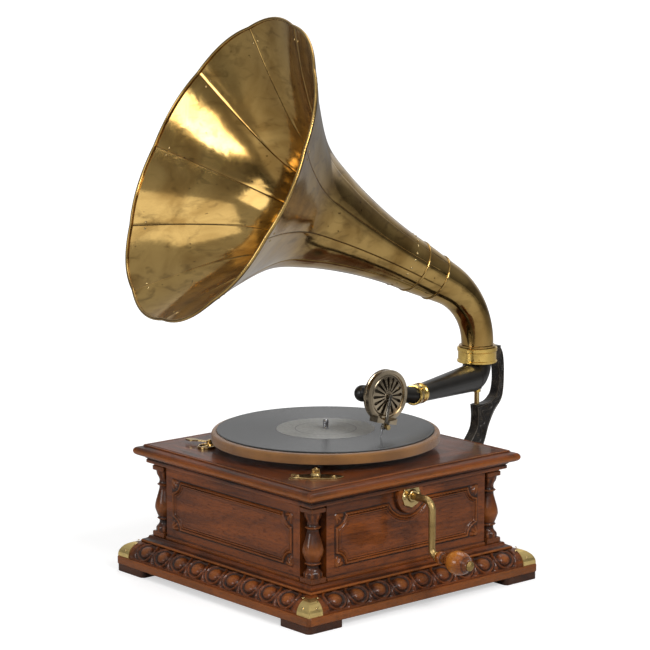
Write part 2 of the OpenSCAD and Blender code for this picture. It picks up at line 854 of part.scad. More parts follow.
module turntable_platter() {
  color(steel)
  rotate_extrude() polygon(concat(
    [[spindle_d / 2, board_top + 4], [12, board_top + 4], [12, platter_top - platter_wall],
     [platter_r - platter_wall, platter_top - platter_wall], [platter_r - platter_wall, platter_z + 0.4],
     [platter_r, platter_z + 0.4]],
    arc([platter_r - 2, platter_top - 2], 2, 0, 90), [[spindle_d / 2, platter_top]]
  ));
}

module platter_felt() {
  r = platter_d / 2;
  color(felt)
  rotate_extrude() polygon(concat(
    [[spindle_d / 2, platter_top]], arc([platter_r - 2, platter_top - 2], 2, 90, 0),
    [[platter_r, platter_z], [r, platter_z]], arc([r - 3, felt_top - 3], 3, 0, 90),
    [[spindle_d / 2, felt_top]]
  ));
}

module record() {
  r = record_d / 2;
  color([0.16, 0.16, 0.17])
  rotate_extrude() polygon([
    [spindle_pin_d / 2 + fit, felt_top], [r - 0.6, felt_top], [r, felt_top + 0.6], [r, record_z - 0.5],
    [r - 1.2, record_z], [r - 3, record_z - 0.15], [58, record_z - 0.15], [56.5, record_z],
    [spindle_pin_d / 2 + fit, record_z]
  ]);
}

// Speed and brake fittings

module speed_plate() {
  half = speed_plate_size / 2;
  bow = (half.x ^ 2 + half.y ^ 2) / (2 * half.y);
  color(brass)
  difference() {
    rotate(-45) translate([speed_plate_at, 0, board_top]) linear_extrude(1.5) intersection() {
      translate([bow - half.y, 0]) circle(bow, $fn = 128);
      translate([half.y - bow, 0]) circle(bow, $fn = 128);
    }
    translate([speed_at.x, speed_at.y, board_top - 1]) cylinder(r = 3 + fit, h = 4);
    top_fixings(screw_d / 2);
  }
}

module speed_knob() {
  color(brass)
  translate([speed_at.x, speed_at.y, 0]) {
    translate([0, 0, governor_z - 1.5]) cylinder(r = 3, h = board_top + 4 - governor_z);
    translate([0, 0, board_top + 1.8]) cylinder(r1 = 6.2, r2 = 4.6, h = 2.4);
    translate([0, 0, board_top + 4]) gear(4.4, 12, 4.4, 0.9);
    translate([0, 0, board_top + 8.4]) cylinder(r1 = 3.4, r2 = 1.2, h = 1.6);
    rotate(reach_turn + 180) translate([0, -finger_half, governor_z - 1.5]) cube([36, 2 * finger_half, 3]);
  }
}

module brake_base() {
  color(brass)
  difference() {
    rotate(-135) translate([brake_r, 0, board_top]) {
      linear_extrude(1.7) {
        circle(6.5);
        translate([2, 14]) circle(10.5);
        translate([-4.5, 0]) square([10.5, 8]);
      }
      translate([2, 14, 1]) tube(10, 8.4, 2);
      cylinder(r = 2, h = 7);
    }
    top_fixings(screw_d / 2);
  }
}

module brake_lever() {
  color(brass)
  rotate(-135) translate([brake_r, 0, board_top + 3.6]) difference() {
    union() {
      translate([0, 0, -1.5]) cylinder(r = 3.8, h = 4);
      linear_extrude(1.6) {
        rotate(-22.5) {
          translate([0, -1.5]) square([18, 3]);
          intersection() {
            translate([23, -7.5]) circle(12);
            translate([23, 7.5]) circle(12);
          }
        }
        rotate(222.7) translate([0, -2]) square([17.7, 4]);
      }
      rotate(222.7) translate([17.7, 0, 0]) cylinder(r = 2.5, h = 10);
    }
    translate([0, 0, -3]) cylinder(r = 2 + fit, h = 8);
  }
}

// Bracket, pin and collar

// Heights of the pin's foot in the bracket, and of the bush that turns on the pin
pin_foot = board_top + 7.7;
bush_z = [arm_z - 19.7, arm_z - 15.7];

// The outlines are drawn from the horn's upright axis and from the top board
module back_bracket() {
  foot = panel_face + 2 - pivot_y;
  outer = smooth([[25, 88.3], [32.5, 86.1], [37.5, 78.7], [39.8, 61.7], [39.6, 35.7], [36, 20.7], [24, 6.2],
                  [15, -10.3], [7, -31.3], [-5, -50.3], [-26, -67.3], [-51, -77.3], [-76, -83.3],
                  [foot, -87.3]], 3);
  inner = smooth([[foot, -44.3], [-76, -49.3], [-51, -48.3], [-29, -38.3], [-15, -23.3], [-6, -10.3],
                  [-4, 2.7], [-5.5, 18.2]], 3);
  upper = smooth([[9, 18.2], [19, 20.7], [27.5, 28.7], [30.6, 44.7], [29.5, 61.7], [25, 70.7]], 3);
  color(iron)
  difference() {
    union() {
      translate([0, pivot_y, board_top]) rotate([90, 0, 90]) linear_extrude(bracket_t, center = true)
        polygon(concat(outer, inner, upper));
      translate([0, pivot_y, pin_foot - 3]) cylinder(r = 6, h = 14);
      translate([-10, pivot_y + 19, collar_z]) cube([20, 11, 17.6]);
      translate([-flange_w / 2, panel_face, flange_z]) cube([flange_w, flange_t, flange_h]);
    }
    translate([0, pivot_y, collar_z - 1]) cylinder(d = collar_d, h = collar_h + 2);
    translate([0, pivot_y, pin_foot]) cylinder(d = pin_d, h = 20);
    bracket_fixings(screw_d / 2);
  }
}

module pivot_pin() {
  color(brass)
  translate([0, pivot_y, pin_foot]) cylinder(d = pin_d, h = bush_z[1] - air - pin_foot);
}

module horn_collar() {
  r = collar_d / 2;
  arm_bore = arm_d / 2 + fit;
  horn_bore = horn_radii[0][1] + 0.2;
  color(brass)
  translate([0, pivot_y, 0]) rotate_extrude() polygon([
    [arm_bore, collar_z], [r - 0.6, collar_z], [r, collar_z + 0.6], [r, collar_z + 2.6],
    [r - 1, collar_z + 3.4], [r - 1, collar_z + 13], [r, collar_z + 14], [r, horn_start - 1],
    [r - 1, horn_start], [horn_bore, horn_start], [horn_bore, ledge_high], [15, ledge_high],
    [15, ledge_low], [arm_bore, ledge_low]
  ]);
}

// Tone arm: children are drawn with the arm's axis along Z from the elbow's end

arm_joint = arm_l - arm_bend;

module in_arm() {
  translate([0, pivot_y, 0]) rotate(arm_yaw) children();
}

module along_arm() {
  in_arm() translate([0, -arm_bend * (1 + sin(arm_rise)), arm_z + arm_bend * (1 - cos(arm_rise))])
    rotate([90 - arm_rise, 0, 0]) children();
}

module arm_elbow(r) {
  in_arm() translate([0, -arm_bend, arm_z + arm_bend]) rotate([-90, 0, 0]) rotate([0, -90, 0])
    rotate_extrude(angle = 90 + arm_rise) translate([arm_bend, 0]) circle(r);
}

module tonearm() {
  r = arm_d / 2;
  end = arm_joint - 8;
  end_r = r + (arm_tip_d / 2 - r) * end / arm_joint;
  // How deep each inner sleeve laps the seam that it joins
  lap = 0.3;
  top = ledge_low - air;
  color(iron)
  difference() {
    union() {
      arm_elbow(r);
      translate([0, pivot_y, bush_z[1]]) cylinder(r = 6, h = 8);
    }
    arm_elbow(r - arm_wall);
  }
  translate([0, pivot_y, arm_z + arm_bend]) {
    tube(r, r - arm_wall, top - arm_z - arm_bend);
    translate([0, 0, -1]) tube(r - 0.75, r - arm_wall - lap, 2);
  }
  along_arm() rotate_extrude() polygon([[r - arm_wall - lap, -1], [r - 0.2, -1], [end_r, end],
                                        [end_r - arm_wall, end]]);
}

module arm_ferrule() {
  r = ferrule_d / 2;
  end = arm_joint - 8;
  arm_r = arm_d / 2 + (arm_tip_d / 2 - arm_d / 2) * (end - 3) / arm_joint;
  spigot = neck_d / 2 - 0.9;
  color(brass) {
    along_arm() rotate_extrude() polygon([
      [arm_r, end - 3], [r - 1, end - 3], [r, end - 2], [r, end + 1], [r - 0.8, end + 2], [r - 0.8, end + 5],
      [r - 0.2, end + 6], [r - 0.8, arm_joint - air / 2], [spigot + fit, arm_joint - air / 2],
      [spigot + fit, end], [arm_r, end]
    ]);
    translate([0, pivot_y, bush_z[0]]) tube(4.75, pin_d / 2 + fit, bush_z[1] - bush_z[0]);
  }
}

// Gooseneck: from the arm's joint it bends to run straight ahead over the record

function arm_point(h) =
  let (flat = arm_bend * (1 + sin(arm_rise)) + h * cos(arm_rise))
  [flat * sin(arm_yaw), pivot_y - flat * cos(arm_yaw),
   arm_z + arm_bend * (1 - cos(arm_rise)) + h * sin(arm_rise)];
// How far past the joint the gooseneck bends, inside its ferrule
neck_bend_at = 6.5;
neck_corner = arm_point(arm_joint + neck_bend_at);
neck_end = box_at + [-13, -18, 1.9];

module neck_shape(r) {
  length = norm(neck_end - neck_corner);
  aim(neck_corner, neck_end)
    rotate_extrude() polygon(concat([[0, 0], [r, 0]], arc([0, length], r, 0, 80, 8),
                                    [[0, length + r * sin(80)]]));
}

module gooseneck() {
  r = neck_d / 2;
  spigot = r - 0.9;
  color([0.2, 0.2, 0.21])
  difference() {
    union() {
      along_arm() {
        translate([0, 0, arm_joint - 8 + air]) cylinder(r = spigot, h = 10);
        translate([0, 0, arm_joint + air / 2]) cylinder(r = ferrule_d / 2 - 0.8, h = neck_bend_at + 2);
      }
      neck_shape(r);
    }
    along_arm() translate([0, 0, arm_joint - 9]) cylinder(r = r - 2.5, h = neck_bend_at + 10);
    rod(neck_corner, neck_end, r - 2);
    translate(box_at - [10, 0, 0]) rotate([0, 90, 0]) cylinder(r = 5, h = 12);
  }
}

// Sound box: children are drawn with its axis along Z and the stylus bar towards +X

module in_box() {
  translate(box_at) rotate([-box_lean, 0, 0]) rotate([0, 90, 0]) children();
}

module soundbox_body() {
  r = box_d / 2;
  color(bronze)
  difference() {
    in_box() {
      difference() {
        union() {
          rotate_extrude() polygon([[0, 0], [r - 2, 0], [r, 1.5], [r, 3.5], [r - 0.8, 4], [r - 0.8, 6.5],
                                    [r, 7], [r, box_h], [0, box_h]]);
          translate([0, 0, -5]) cylinder(r = 8.5, h = 6);
          translate([r - 6, -15, 3]) cube([7.5, 30, 13]);
        }
        translate([0, 0, 2]) cylinder(r = r - 4, h = box_h);
        translate([0, 0, -8]) cylinder(r = 5, h = 12);
        translate([r - 10, -4, 5]) cube([14, 8, 14]);
        translate([0, 0, box_h]) cylinder(r = r - 1.5, h = 10);
      }
    }
    neck_shape(neck_d / 2);
  }
}

module soundbox_gaskets() {
  color([0.35, 0.12, 0.08])
  in_box() for (z = [2, 4.7]) translate([0, 0, z]) tube(box_d / 2 - 4, box_d / 2 - 7, 2.2);
}

module diaphragm() {
  color([0.8, 0.78, 0.7])
  in_box() translate([0, 0, 4.2]) cylinder(r = box_d / 2 - 4.5, h = 0.5);
}

module soundbox_grille() {
  r = box_d / 2 - 4;
  color(bronze)
  in_box() difference() {
    rotate_extrude() polygon([[3, 9.8], [10, 9.4], [18, 8.4], [r - 1, 6.9], [r, 6.9], [r, 8.6],
                              [18, 10.2], [10, 11.2], [3, 11.6]]);
    for (i = [0:grille_slots - 1]) rotate((i + 0.5) * 360 / grille_slots)
      translate([8, -1.2, 4]) cube([13, 2.4, 10]);
    translate([r - 8, -3.4, 4]) cube([12, 6.8, 10]);
  }
}

// The stylus bar: its pivot's place and height over the sound box's back, and its chuck's place
pivot_x = box_d / 2 + 0.5;
pivot_h = 14.2;
pivot_r = 2.4;
chuck_x = 34.6;

module stylus_bar() {
  color(steel)
  in_box() {
    translate([0, 0, 5]) cylinder(r = 1.2, h = 9);
    translate([0, 0, 12]) cylinder(r = 2.6, h = 2.9);
    rod([0, 0, pivot_h], [pivot_x, 0, pivot_h], 1.8, 2.2);
    translate([pivot_x, -3.4, pivot_h]) rotate([-90, 0, 0]) cylinder(r = pivot_r, h = 6.8);
    difference() {
      rod([pivot_x, 0, 12.5], [chuck_x + 3, 0, 10.6], 2.6);
      chuck_holes();
    }
  }
}

// The needle's two ends in the sound box's frame
needle_top = [chuck_x - 4, 0, 11];
needle_tip = [(box_at.z - record_z - needle_gap) / cos(box_lean), 0, 10];

module chuck_holes() {
  rod(needle_top, needle_tip, 0.8);
  translate([chuck_x, 0, 10]) cylinder(r = 1.2, h = 8);
}

module needle() {
  length = norm(needle_tip - needle_top);
  color(steel)
  in_box() aim(needle_top, needle_tip)
    rotate_extrude() polygon([[0, 0], [0.8, 0], [0.8, length - 5], [0.2, length], [0, length]]);
}

module needle_screw() {
  color(brass)
  in_box() {
    translate([chuck_x, 0, 11.9]) cylinder(r = 1.15, h = 6);
    translate([chuck_x, 0, pivot_h + pivot_r + air]) gear(3, 14, 3.4, 0.5);
  }
}

// Horn

function horn_lift_at(s) =
  s < horn_stub ? 90
  : s < elbow_end ? 90 - (s - horn_stub) / horn_bend * 180 / PI
  : horn_lift + (mouth_lift - horn_lift) * (s - elbow_end) / horn_l;
ahead = [-sin(horn_yaw), -cos(horn_yaw), 0];
aside = [-cos(horn_yaw), sin(horn_yaw), 0];
upward = [0, 0, 1];
// Distance ahead of the upright axis and height over the collar, along the horn's middle line
function horn_flat(s) =
  let (turned = 90 - horn_lift_at(min(s, elbow_end)), past = max(s - elbow_end, 0),
       middle = (horn_lift + horn_lift_at(max(s, elbow_end))) / 2)
  [horn_bend * (1 - cos(turned)) + past * cos(middle),
   min(s, horn_stub) + horn_bend * sin(turned) + past * sin(middle)];
function horn_point(s) =
  let (f = horn_flat(s)) [0, pivot_y, horn_start] + f[0] * ahead + f[1] * upward;
function horn_up(s) = let (a = horn_lift_at(s)) cos(a) * upward - sin(a) * ahead;

seam_turn = 3.5;
function petal_share(s) = max(0, s - joint_s) / (horn_total - joint_s);
function horn_r(s, a) =
  let (wave = 2 * abs(sin((a - seam_turn) * petals / 2)) - 1)
  value_at(horn_radii, s) * (1 + petal_rise * petal_share(s) * wave);
function horn_ring(s, count, out) = [for (k = [0:count - 1]) let (a = 360 * k / count + seam_turn)
  horn_point(s) + (horn_r(s, a) + out) * (cos(a) * aside + sin(a) * horn_up(s))];

// A closed sheet between an outer and an inner list of rings
module sheet(outer, inner) {
  rings = len(outer);
  n = len(outer[0]);
  m = rings * n;
  function wall(at, i, k) = [at + i * n + k, at + i * n + (k + 1) % n,
                             at + (i + 1) * n + (k + 1) % n, at + (i + 1) * n + k];
  points = [for (ring = outer, p = ring) p];
  inside = [for (ring = inner, p = ring) p];
  polyhedron(concat(points, inside), concat(
    [for (i = [0:rings - 2], k = [0:n - 1]) let (q = wall(0, i, k))
      each [[q[0], q[1], q[2]], [q[0], q[2], q[3]]]],
    [for (i = [0:rings - 2], k = [0:n - 1]) let (q = wall(m, i, k))
      each [[q[0], q[2], q[1]], [q[0], q[3], q[2]]]],
    [for (k = [0:n - 1]) let (a = k, b = (k + 1) % n) each [[a, m + a, m + b], [a, m + b, b]]],
    [for (k = [0:n - 1]) let (a = m - n + k, b = m - n + (k + 1) % n)
      each [[a, m + b, m + a], [a, b, m + b]]]
  ));
}

bell_places = [joint_s, 130, band_s[1], 165, 190, 215, 240, 265, 290, 312, 332, 350, 366, 381, 395, 408, 420,
               horn_total];

module horn_bell() {
  color(aged_brass)
  sheet([for (s = bell_places) horn_ring(s, 6 * petals, 0)],
        [for (s = bell_places) horn_ring(s, 6 * petals, -sheet_t)]);
}

module horn_elbow() {
  places = [0, horn_stub, 14, 26, 38, 50, 62, 74, 86, elbow_end, joint_s];
  r = horn_radii[0][1];
  ledge = ledge_high + air;
  color(aged_brass)
  union() {
    sheet([for (s = places) horn_ring(s, 3 * petals, 0)],
          [for (s = places) horn_ring(s, 3 * petals, -sheet_t)]);
    translate([0, pivot_y, ledge]) tube(r + 0.15, r - sheet_t - 0.3, horn_start + 1 - ledge);
    translate([0, pivot_y, horn_start + air]) tube(collar_d / 2 - 2, r - sheet_t / 2, 2.2);
  }
}

// The horn's bands and its wired rim
module horn_bands() {
  color(brass) {
    for (s = band_s) {
      r = value_at(horn_radii, s + 2.5) + 0.1;
      translate(horn_point(s)) rotate([0, 0, 90 - horn_yaw]) rotate([0, horn_lift_at(s) - 90, 0])
        rotate_extrude() polygon([[r, -2.5], [r + 1, -2.5], [r + 1.6, -1.2], [r + 1.6, 1.2],
                                  [r + 1, 2.5], [r, 2.5]]);
    }
    wired_rim();
  }
}

module wired_rim() {
  n = 6 * petals;
  sides = 8;
  r = wire_d / 2;
  end = horn_ring(horn_total, n, -sheet_t / 2);
  forward = cos(mouth_lift) * ahead + sin(mouth_lift) * upward;
  middle = horn_point(horn_total);
  points = [for (i = [0:n - 1], j = [0:sides - 1])
    let (out = (end[i] - middle) / norm(end[i] - middle), a = 360 * (j + 0.5) / sides)
    end[i] + forward * r * cos(180 / sides) + r * (cos(a) * out + sin(a) * forward)];
  polyhedron(points, [for (i = [0:n - 1], j = [0:sides - 1])
    let (a = i * sides + j, b = i * sides + (j + 1) % sides, c = (i + 1) % n * sides + (j + 1) % sides,
         d = (i + 1) % n * sides + j)
    each [[a, c, b], [a, d, c]]]);
}

corner_feet();
base_slab();
bottom_board();
base_moulding();
corner_guards();
ledge_moulding();
front_panel();
back_panel();
left_panel();
right_panel();
corner_posts();
corner_columns();
frieze_frame();
top_board();
motor_top_plate();
motor_bottom_plate();
motor_pillars();
motor_spacers();
motor_bolts();
spring_barrel();
mainspring();
winding_arbor();
crown_wheel();
ratchet_wheel();
ratchet_click();
second_wheel();
spindle();
governor_shaft();
governor_weights();
governor_springs();
governor_bearings();
regulator_arm();
winding_shaft();
crank_handle();
crank_knob();
escutcheon();
wood_screws();
turntable_platter();
platter_felt();
record();
speed_plate();
speed_knob();
brake_base();
brake_lever();
back_bracket();
pivot_pin();
horn_collar();
tonearm();
arm_ferrule();
gooseneck();
soundbox_body();
soundbox_gaskets();
diaphragm();
soundbox_grille();
stylus_bar();
needle();
needle_screw();
horn_bell();
horn_elbow();
horn_bands();
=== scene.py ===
"""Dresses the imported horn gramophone: carved mahogany, aged brass, black enamel, felt and shellac.

Sizes of shapes are in millimetres and become metres when a mesh is made. Those of the finishes and
the studio are in metres.
"""
import logging
import math
from collections.abc import Callable
from dataclasses import dataclass
from enum import Enum

import bpy
import numpy as np
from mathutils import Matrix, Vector


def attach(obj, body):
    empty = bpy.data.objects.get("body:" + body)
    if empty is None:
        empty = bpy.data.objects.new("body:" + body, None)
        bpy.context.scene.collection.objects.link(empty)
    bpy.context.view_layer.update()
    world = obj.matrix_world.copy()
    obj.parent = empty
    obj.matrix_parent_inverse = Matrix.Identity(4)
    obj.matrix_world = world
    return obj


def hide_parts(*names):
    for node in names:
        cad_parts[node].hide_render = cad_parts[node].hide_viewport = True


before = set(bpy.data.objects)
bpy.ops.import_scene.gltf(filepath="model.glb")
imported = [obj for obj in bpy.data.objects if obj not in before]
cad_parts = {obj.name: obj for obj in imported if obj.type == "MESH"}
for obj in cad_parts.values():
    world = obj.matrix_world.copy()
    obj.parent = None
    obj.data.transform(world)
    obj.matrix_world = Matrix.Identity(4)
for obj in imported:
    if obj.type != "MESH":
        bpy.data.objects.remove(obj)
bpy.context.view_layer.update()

log = logging.getLogger("gramophone")
Array = np.ndarray
Colour = tuple[float, float, float]
Point = tuple[float, float, float]
Stretch = tuple[float, float, float]
Carve = Callable[[Array, Array], tuple[Array, Array]]
Socket = bpy.types.NodeSocket
Outputs = bpy.types.bpy_prop_collection
MM = 0.001


class Side(Enum):
    """A side of the cabinet, counted from the front against the clock."""

    FRONT = 0
    RIGHT = 1
    BACK = 2
    LEFT = 3

    def turn(self, along: Array, out: Array) -> tuple[Array, Array]:
        """Places points of this side.

        Args:
            along: distance from the side's middle, to the right as seen from outside.
            out: distance out from the cabinet's middle.

        Returns:
            The points' x and y.
        """
        return ((along, -out), (out, along), (-along, out), (-out, -along))[self.value]


class Grain(Enum):
    """Which way the grain runs: along an axis of the object, or as the piece's own attribute says."""

    ALONG_X = (0.0, 0.0, 0.0)
    ALONG_Z = (0.0, math.pi / 2, 0.0)
    ON_PIECE = None


# Shapes

# A turned shape keeps at least this radius, so that its tip stays open
LEAST_RADIUS = 0.02
# How far along the timber each side of a moulding and each panel starts, so that no two match
SIDE_STEP, PANEL_STEP = 500, 700


@dataclass
class Skin:
    """A surface being built, with two values a point that its finish reads.

    relief is above 0 on high places, which the finishes paint lighter as wear and painted highlight, and
    below 0 in recesses, which they paint dark as painted shade, and place is the point's place on the timber,
    with X along the grain.
    """

    points: Array
    faces: list[Array]
    relief: Array
    place: Array

    @staticmethod
    def joined(skins: list["Skin"]) -> "Skin":
        """Puts several skins in one.

        Args:
            skins: the skins, which stay separate shells.

        Returns:
            One skin with all their points and faces.
        """
        starts = np.cumsum([0] + [len(s.points) for s in skins[:-1]])
        return Skin(
            np.concatenate([s.points for s in skins]),
            [group + start for s, start in zip(skins, starts) for group in s.faces],
            np.concatenate([s.relief for s in skins]),
            np.concatenate([s.place for s in skins]),
        )

    def outward(self) -> "Skin":
        """Turns all faces round if the closed shell's signed volume is below 0.

        Returns:
            The skin itself.
        """
        volume = 0.0
        for group in self.faces:
            p = self.points[group]
            volume += float((p[:, :1] * np.cross(p[:, 1:-1], p[:, 2:])).sum())
        if volume < 0:
            self.faces = [group[:, ::-1] for group in self.faces]
        return self

    def piece(self, name: str, body: str, finish: bpy.types.Material, slot: str,
              replaces: tuple[str, ...] = (), crease: float = 35.0) -> bpy.types.Object:
        """Makes the skin an object that rides on a body.

        Args:
            name: the piece's name.
            body: the body that it moves with.
            finish: its material.
            slot: the name of the slot that the finish belongs to; not used.
            replaces: nodes of the frame that it stands for.
            crease: the angle in degrees past which an edge stays sharp.

        Returns:
            The object.
        """
        mesh = bpy.data.meshes.new(name)
        mesh.from_pydata((self.points * MM).tolist(), [], [f for g in self.faces for f in g.tolist()])
        # The relief attribute carries the painted shade and painted highlight, with wear, that the finishes
        # read
        wear_and_shade = self.relief.astype(np.float32)
        mesh.attributes.new("relief", "FLOAT", "POINT").data.foreach_set("value", wear_and_shade)
        place = (self.place * MM).astype(np.float32).ravel()
        mesh.attributes.new("place", "FLOAT_VECTOR", "POINT").data.foreach_set("vector", place)
        mesh.shade_smooth()
        mesh.set_sharp_from_angle(angle=math.radians(crease))
        mesh.materials.append(finish)
        made = bpy.data.objects.new(name, mesh)
        bpy.context.scene.collection.objects.link(made)
        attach(made, body)
        if replaces:
            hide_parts(*replaces)
        log.info("%s: %d points on %s", name, len(self.points), body)
        return made


def lattice(points: Array, relief: Array | float = 0.0, place: Array | None = None,
            closed_rows: bool = False) -> Skin:
    """A closed shell from a grid of points whose columns go round.

    Point (i, j) joins (i, j + 1), (i + 1, j + 1) and (i + 1, j). Rows that don't close get one flat
    face at each end.

    Args:
        points: rows x columns x 3.
        relief: one value, or rows x columns.
        place: rows x columns x 3, or the points themselves.
        closed_rows: whether the last row joins the first.

    Returns:
        The shell, with its faces outwards.
    """
    rows, columns = points.shape[:2]
    index = np.arange(rows * columns).reshape(rows, columns)
    here = index if closed_rows else index[:-1]
    below = np.roll(index, -1, axis=0) if closed_rows else index[1:]
    quads = np.stack([here, np.roll(here, -1, axis=1), np.roll(below, -1, axis=1), below], axis=-1)
    faces = [quads.reshape(-1, 4)]
    if not closed_rows:
        faces += [index[:1, ::-1], index[-1:]]
    flat = points.reshape(-1, 3)
    wear_and_shade = np.broadcast_to(np.asarray(relief, float), (rows, columns)).ravel()
    return Skin(flat, faces, wear_and_shade, flat if place is None else place.reshape(-1, 3)).outward()


def smoothed(outline: list[tuple[float, float]], steps: int = 4) -> Array:
    """A smooth line through given points: each span is a cubic with its neighbours' slopes.

    Args:
        outline: the points.
        steps: how many pieces each span gets.

    Returns:
        The line's points, one row each.
    """
    p = np.array(outline, float)
    last = len(p) - 1
    i, j = np.meshgrid(np.arange(last), np.arange(steps), indexing="ij")
    i, t = i.ravel(), (j.ravel() / steps)[:, None]
    a, b, c, d = p[np.maximum(i - 1, 0)], p[i], p[i + 1], p[np.minimum(i + 2, last)]
    slope, bend, turn = c - a, 2 * a - 5 * b + 4 * c - d, 3 * b - a - 3 * c + d
    line = 0.5 * (2 * b + slope * t + bend * t ** 2 + turn * t ** 3)
    return np.concatenate([line, p[-1:]])


def resampled(line: Array, count: int) -> Array:
    """A line's points at even distances.

    Args:
        line: the line's points.
        count: how many points to give.

    Returns:
        count points along the line.
    """
    run = np.concatenate([[0], np.cumsum(np.linalg.norm(np.diff(line, axis=0), axis=1))])
    at = np.linspace(0, run[-1], count)
    return np.stack([np.interp(at, run, line[:, k]) for k in range(line.shape[1])], axis=1)


def circle(count: int, turn: float = 2 * np.pi) -> Array:
    """Even steps round a turn, from 0 to a step short of the turn."""
    return np.linspace(0, turn, count, endpoint=False)


def hill(x: Array, middle: float, width: float) -> Array:
    """A smooth hill 1 high: the bell curve exp(-((x - middle) / width)^2)."""
    return np.exp(-((x - middle) / width) ** 2)


def eased(x: Array, low: float, high: float) -> Array:
    """0 below low, 1 above high, and the curve 3t^2 - 2t^3 between."""
    t = np.clip((x - low) / (high - low), 0, 1)
    return t * t * (3 - 2 * t)


def revolved(outline: Array, origin: Point, axis: Point = (0, 0, 1), around: int = 96,
             flutes: tuple[int, Array] | None = None, relief: Array | float = 0.0,
             closed: bool = False) -> Skin:
    """An outline of (radius, distance) points turned round an axis.

    A point is origin + distance x axis + radius x (cos a x side + sin a x other), and the flutes
    change its radius by depth x cos(count x a).

    Args:
        outline: the points from one end to the other, or round a loop.
        origin: where radius 0 and distance 0 lie.
        axis: the axis's direction.
        around: how many columns go round.
        flutes: their count, and their depth at each point of the outline.
        relief: the finish's relief at each point of the outline.
        closed: whether the outline is a loop, as for a ring or a piece with a bore.

    Returns:
        The closed shell.
    """
    along = np.array(axis, float) / np.linalg.norm(axis)
    side = np.cross(along, (0, 1, 0) if abs(along[1]) < 0.7 else (0, 0, 1))
    side /= np.linalg.norm(side)
    a = circle(around)[None, :]
    count, depth = flutes or (0, 0.0 * outline[:, 0])
    wave = np.cos(count * a) * depth[:, None]
    r = np.maximum(outline[:, :1] + wave, LEAST_RADIUS)[..., None]
    ring = np.cos(a)[..., None] * side + np.sin(a)[..., None] * np.cross(along, side)
    points = np.array(origin, float) + outline[:, 1:, None] * along + r * ring
    # The flutes' grooves get lower relief and their ridges higher: painted shade and painted highlight
    wear_and_shade = np.broadcast_to(np.asarray(relief, float), len(outline))[:, None] + np.clip(wave, -1, 1)
    return lattice(points, wear_and_shade, closed_rows=closed)


def swept(path: Array, radii: Array, across: Point, around: int = 24) -> Skin:
    """A round rod along a flat path: each ring lies square to the path.

    Args:
        path: the points of its middle line.
        radii: its radius at each.
        across: the direction square to the plane of the path.
        around: how many columns go round.

    Returns:
        The closed rod.
    """
    run = np.gradient(path, axis=0)
    run /= np.linalg.norm(run, axis=1)[:, None]
    flat = np.array(across, float)
    a = circle(around)[None, :, None]
    ring = np.cos(a) * flat + np.sin(a) * np.cross(run, flat)[:, None, :]
    return lattice(path[:, None, :] + radii[:, None, None] * ring)


def block(centre: tuple[float, float], half: float, low: float, high: float, ease: float = 0.6) -> Skin:
    """An upright square block with eased edges: four rings of a rounded square.

    Args:
        centre: its middle in plan.
        half: half its side.
        low: height of its foot.
        high: height of its top.
        ease: how far its edges are rounded.

    Returns:
        The closed shell.
    """
    a = circle(32)
    c, s = np.cos(a), np.sin(a)
    shape = np.stack([np.sign(c) * np.abs(c) ** 0.12, np.sign(s) * np.abs(s) ** 0.12], axis=1)
    z = np.array([low, low + ease, high - ease, high])[:, None]
    r = np.array([half - ease, half, half, half - ease])[:, None]
    x, y = centre[0] + r * shape[None, :, 0], centre[1] + r * shape[None, :, 1]
    return lattice(np.stack([x, y, z + 0 * a[None]], axis=-1), 0.25)


def domes(centres: Array, normals: Array, radius: float, height: float) -> Skin:
    """Round nail or rivet heads: rings of radius cos t at height sin t over each centre.

    Args:
        centres: one point each.
        normals: the way each head faces.
        radius: the heads' radius.
        height: the heads' height.

    Returns:
        One skin with all the heads.
    """
    n = normals / np.linalg.norm(normals, axis=1)[:, None]
    side = np.cross(n, np.where(np.abs(n[:, 2:]) < 0.9, [[0.0, 0, 1]], [[1.0, 0, 0]]))
    side /= np.linalg.norm(side, axis=1)[:, None]
    other = np.cross(n, side)
    t = np.radians([-25, 0, 35, 62, 84])[:, None]
    a = circle(8)[None, :]
    out = radius * np.cos(t)
    ring = np.stack([out * np.cos(a), out * np.sin(a), height * np.sin(t) + 0 * a], axis=-1)
    frames = np.stack([side, other, n], axis=1)
    heads = np.einsum("rck,nkx->nrcx", ring, frames) + centres[:, None, None, :]
    return Skin.joined([lattice(head, 0.4) for head in heads])


def wear_and_shade_only(relief: Callable[[Array], Array]) -> Carve:
    """A carving with no height, only relief by the distance up the profile, which the finish paints as
    painted shade and painted highlight.
    """
    return lambda u, run: (0 * u, relief(run) + 0 * u)


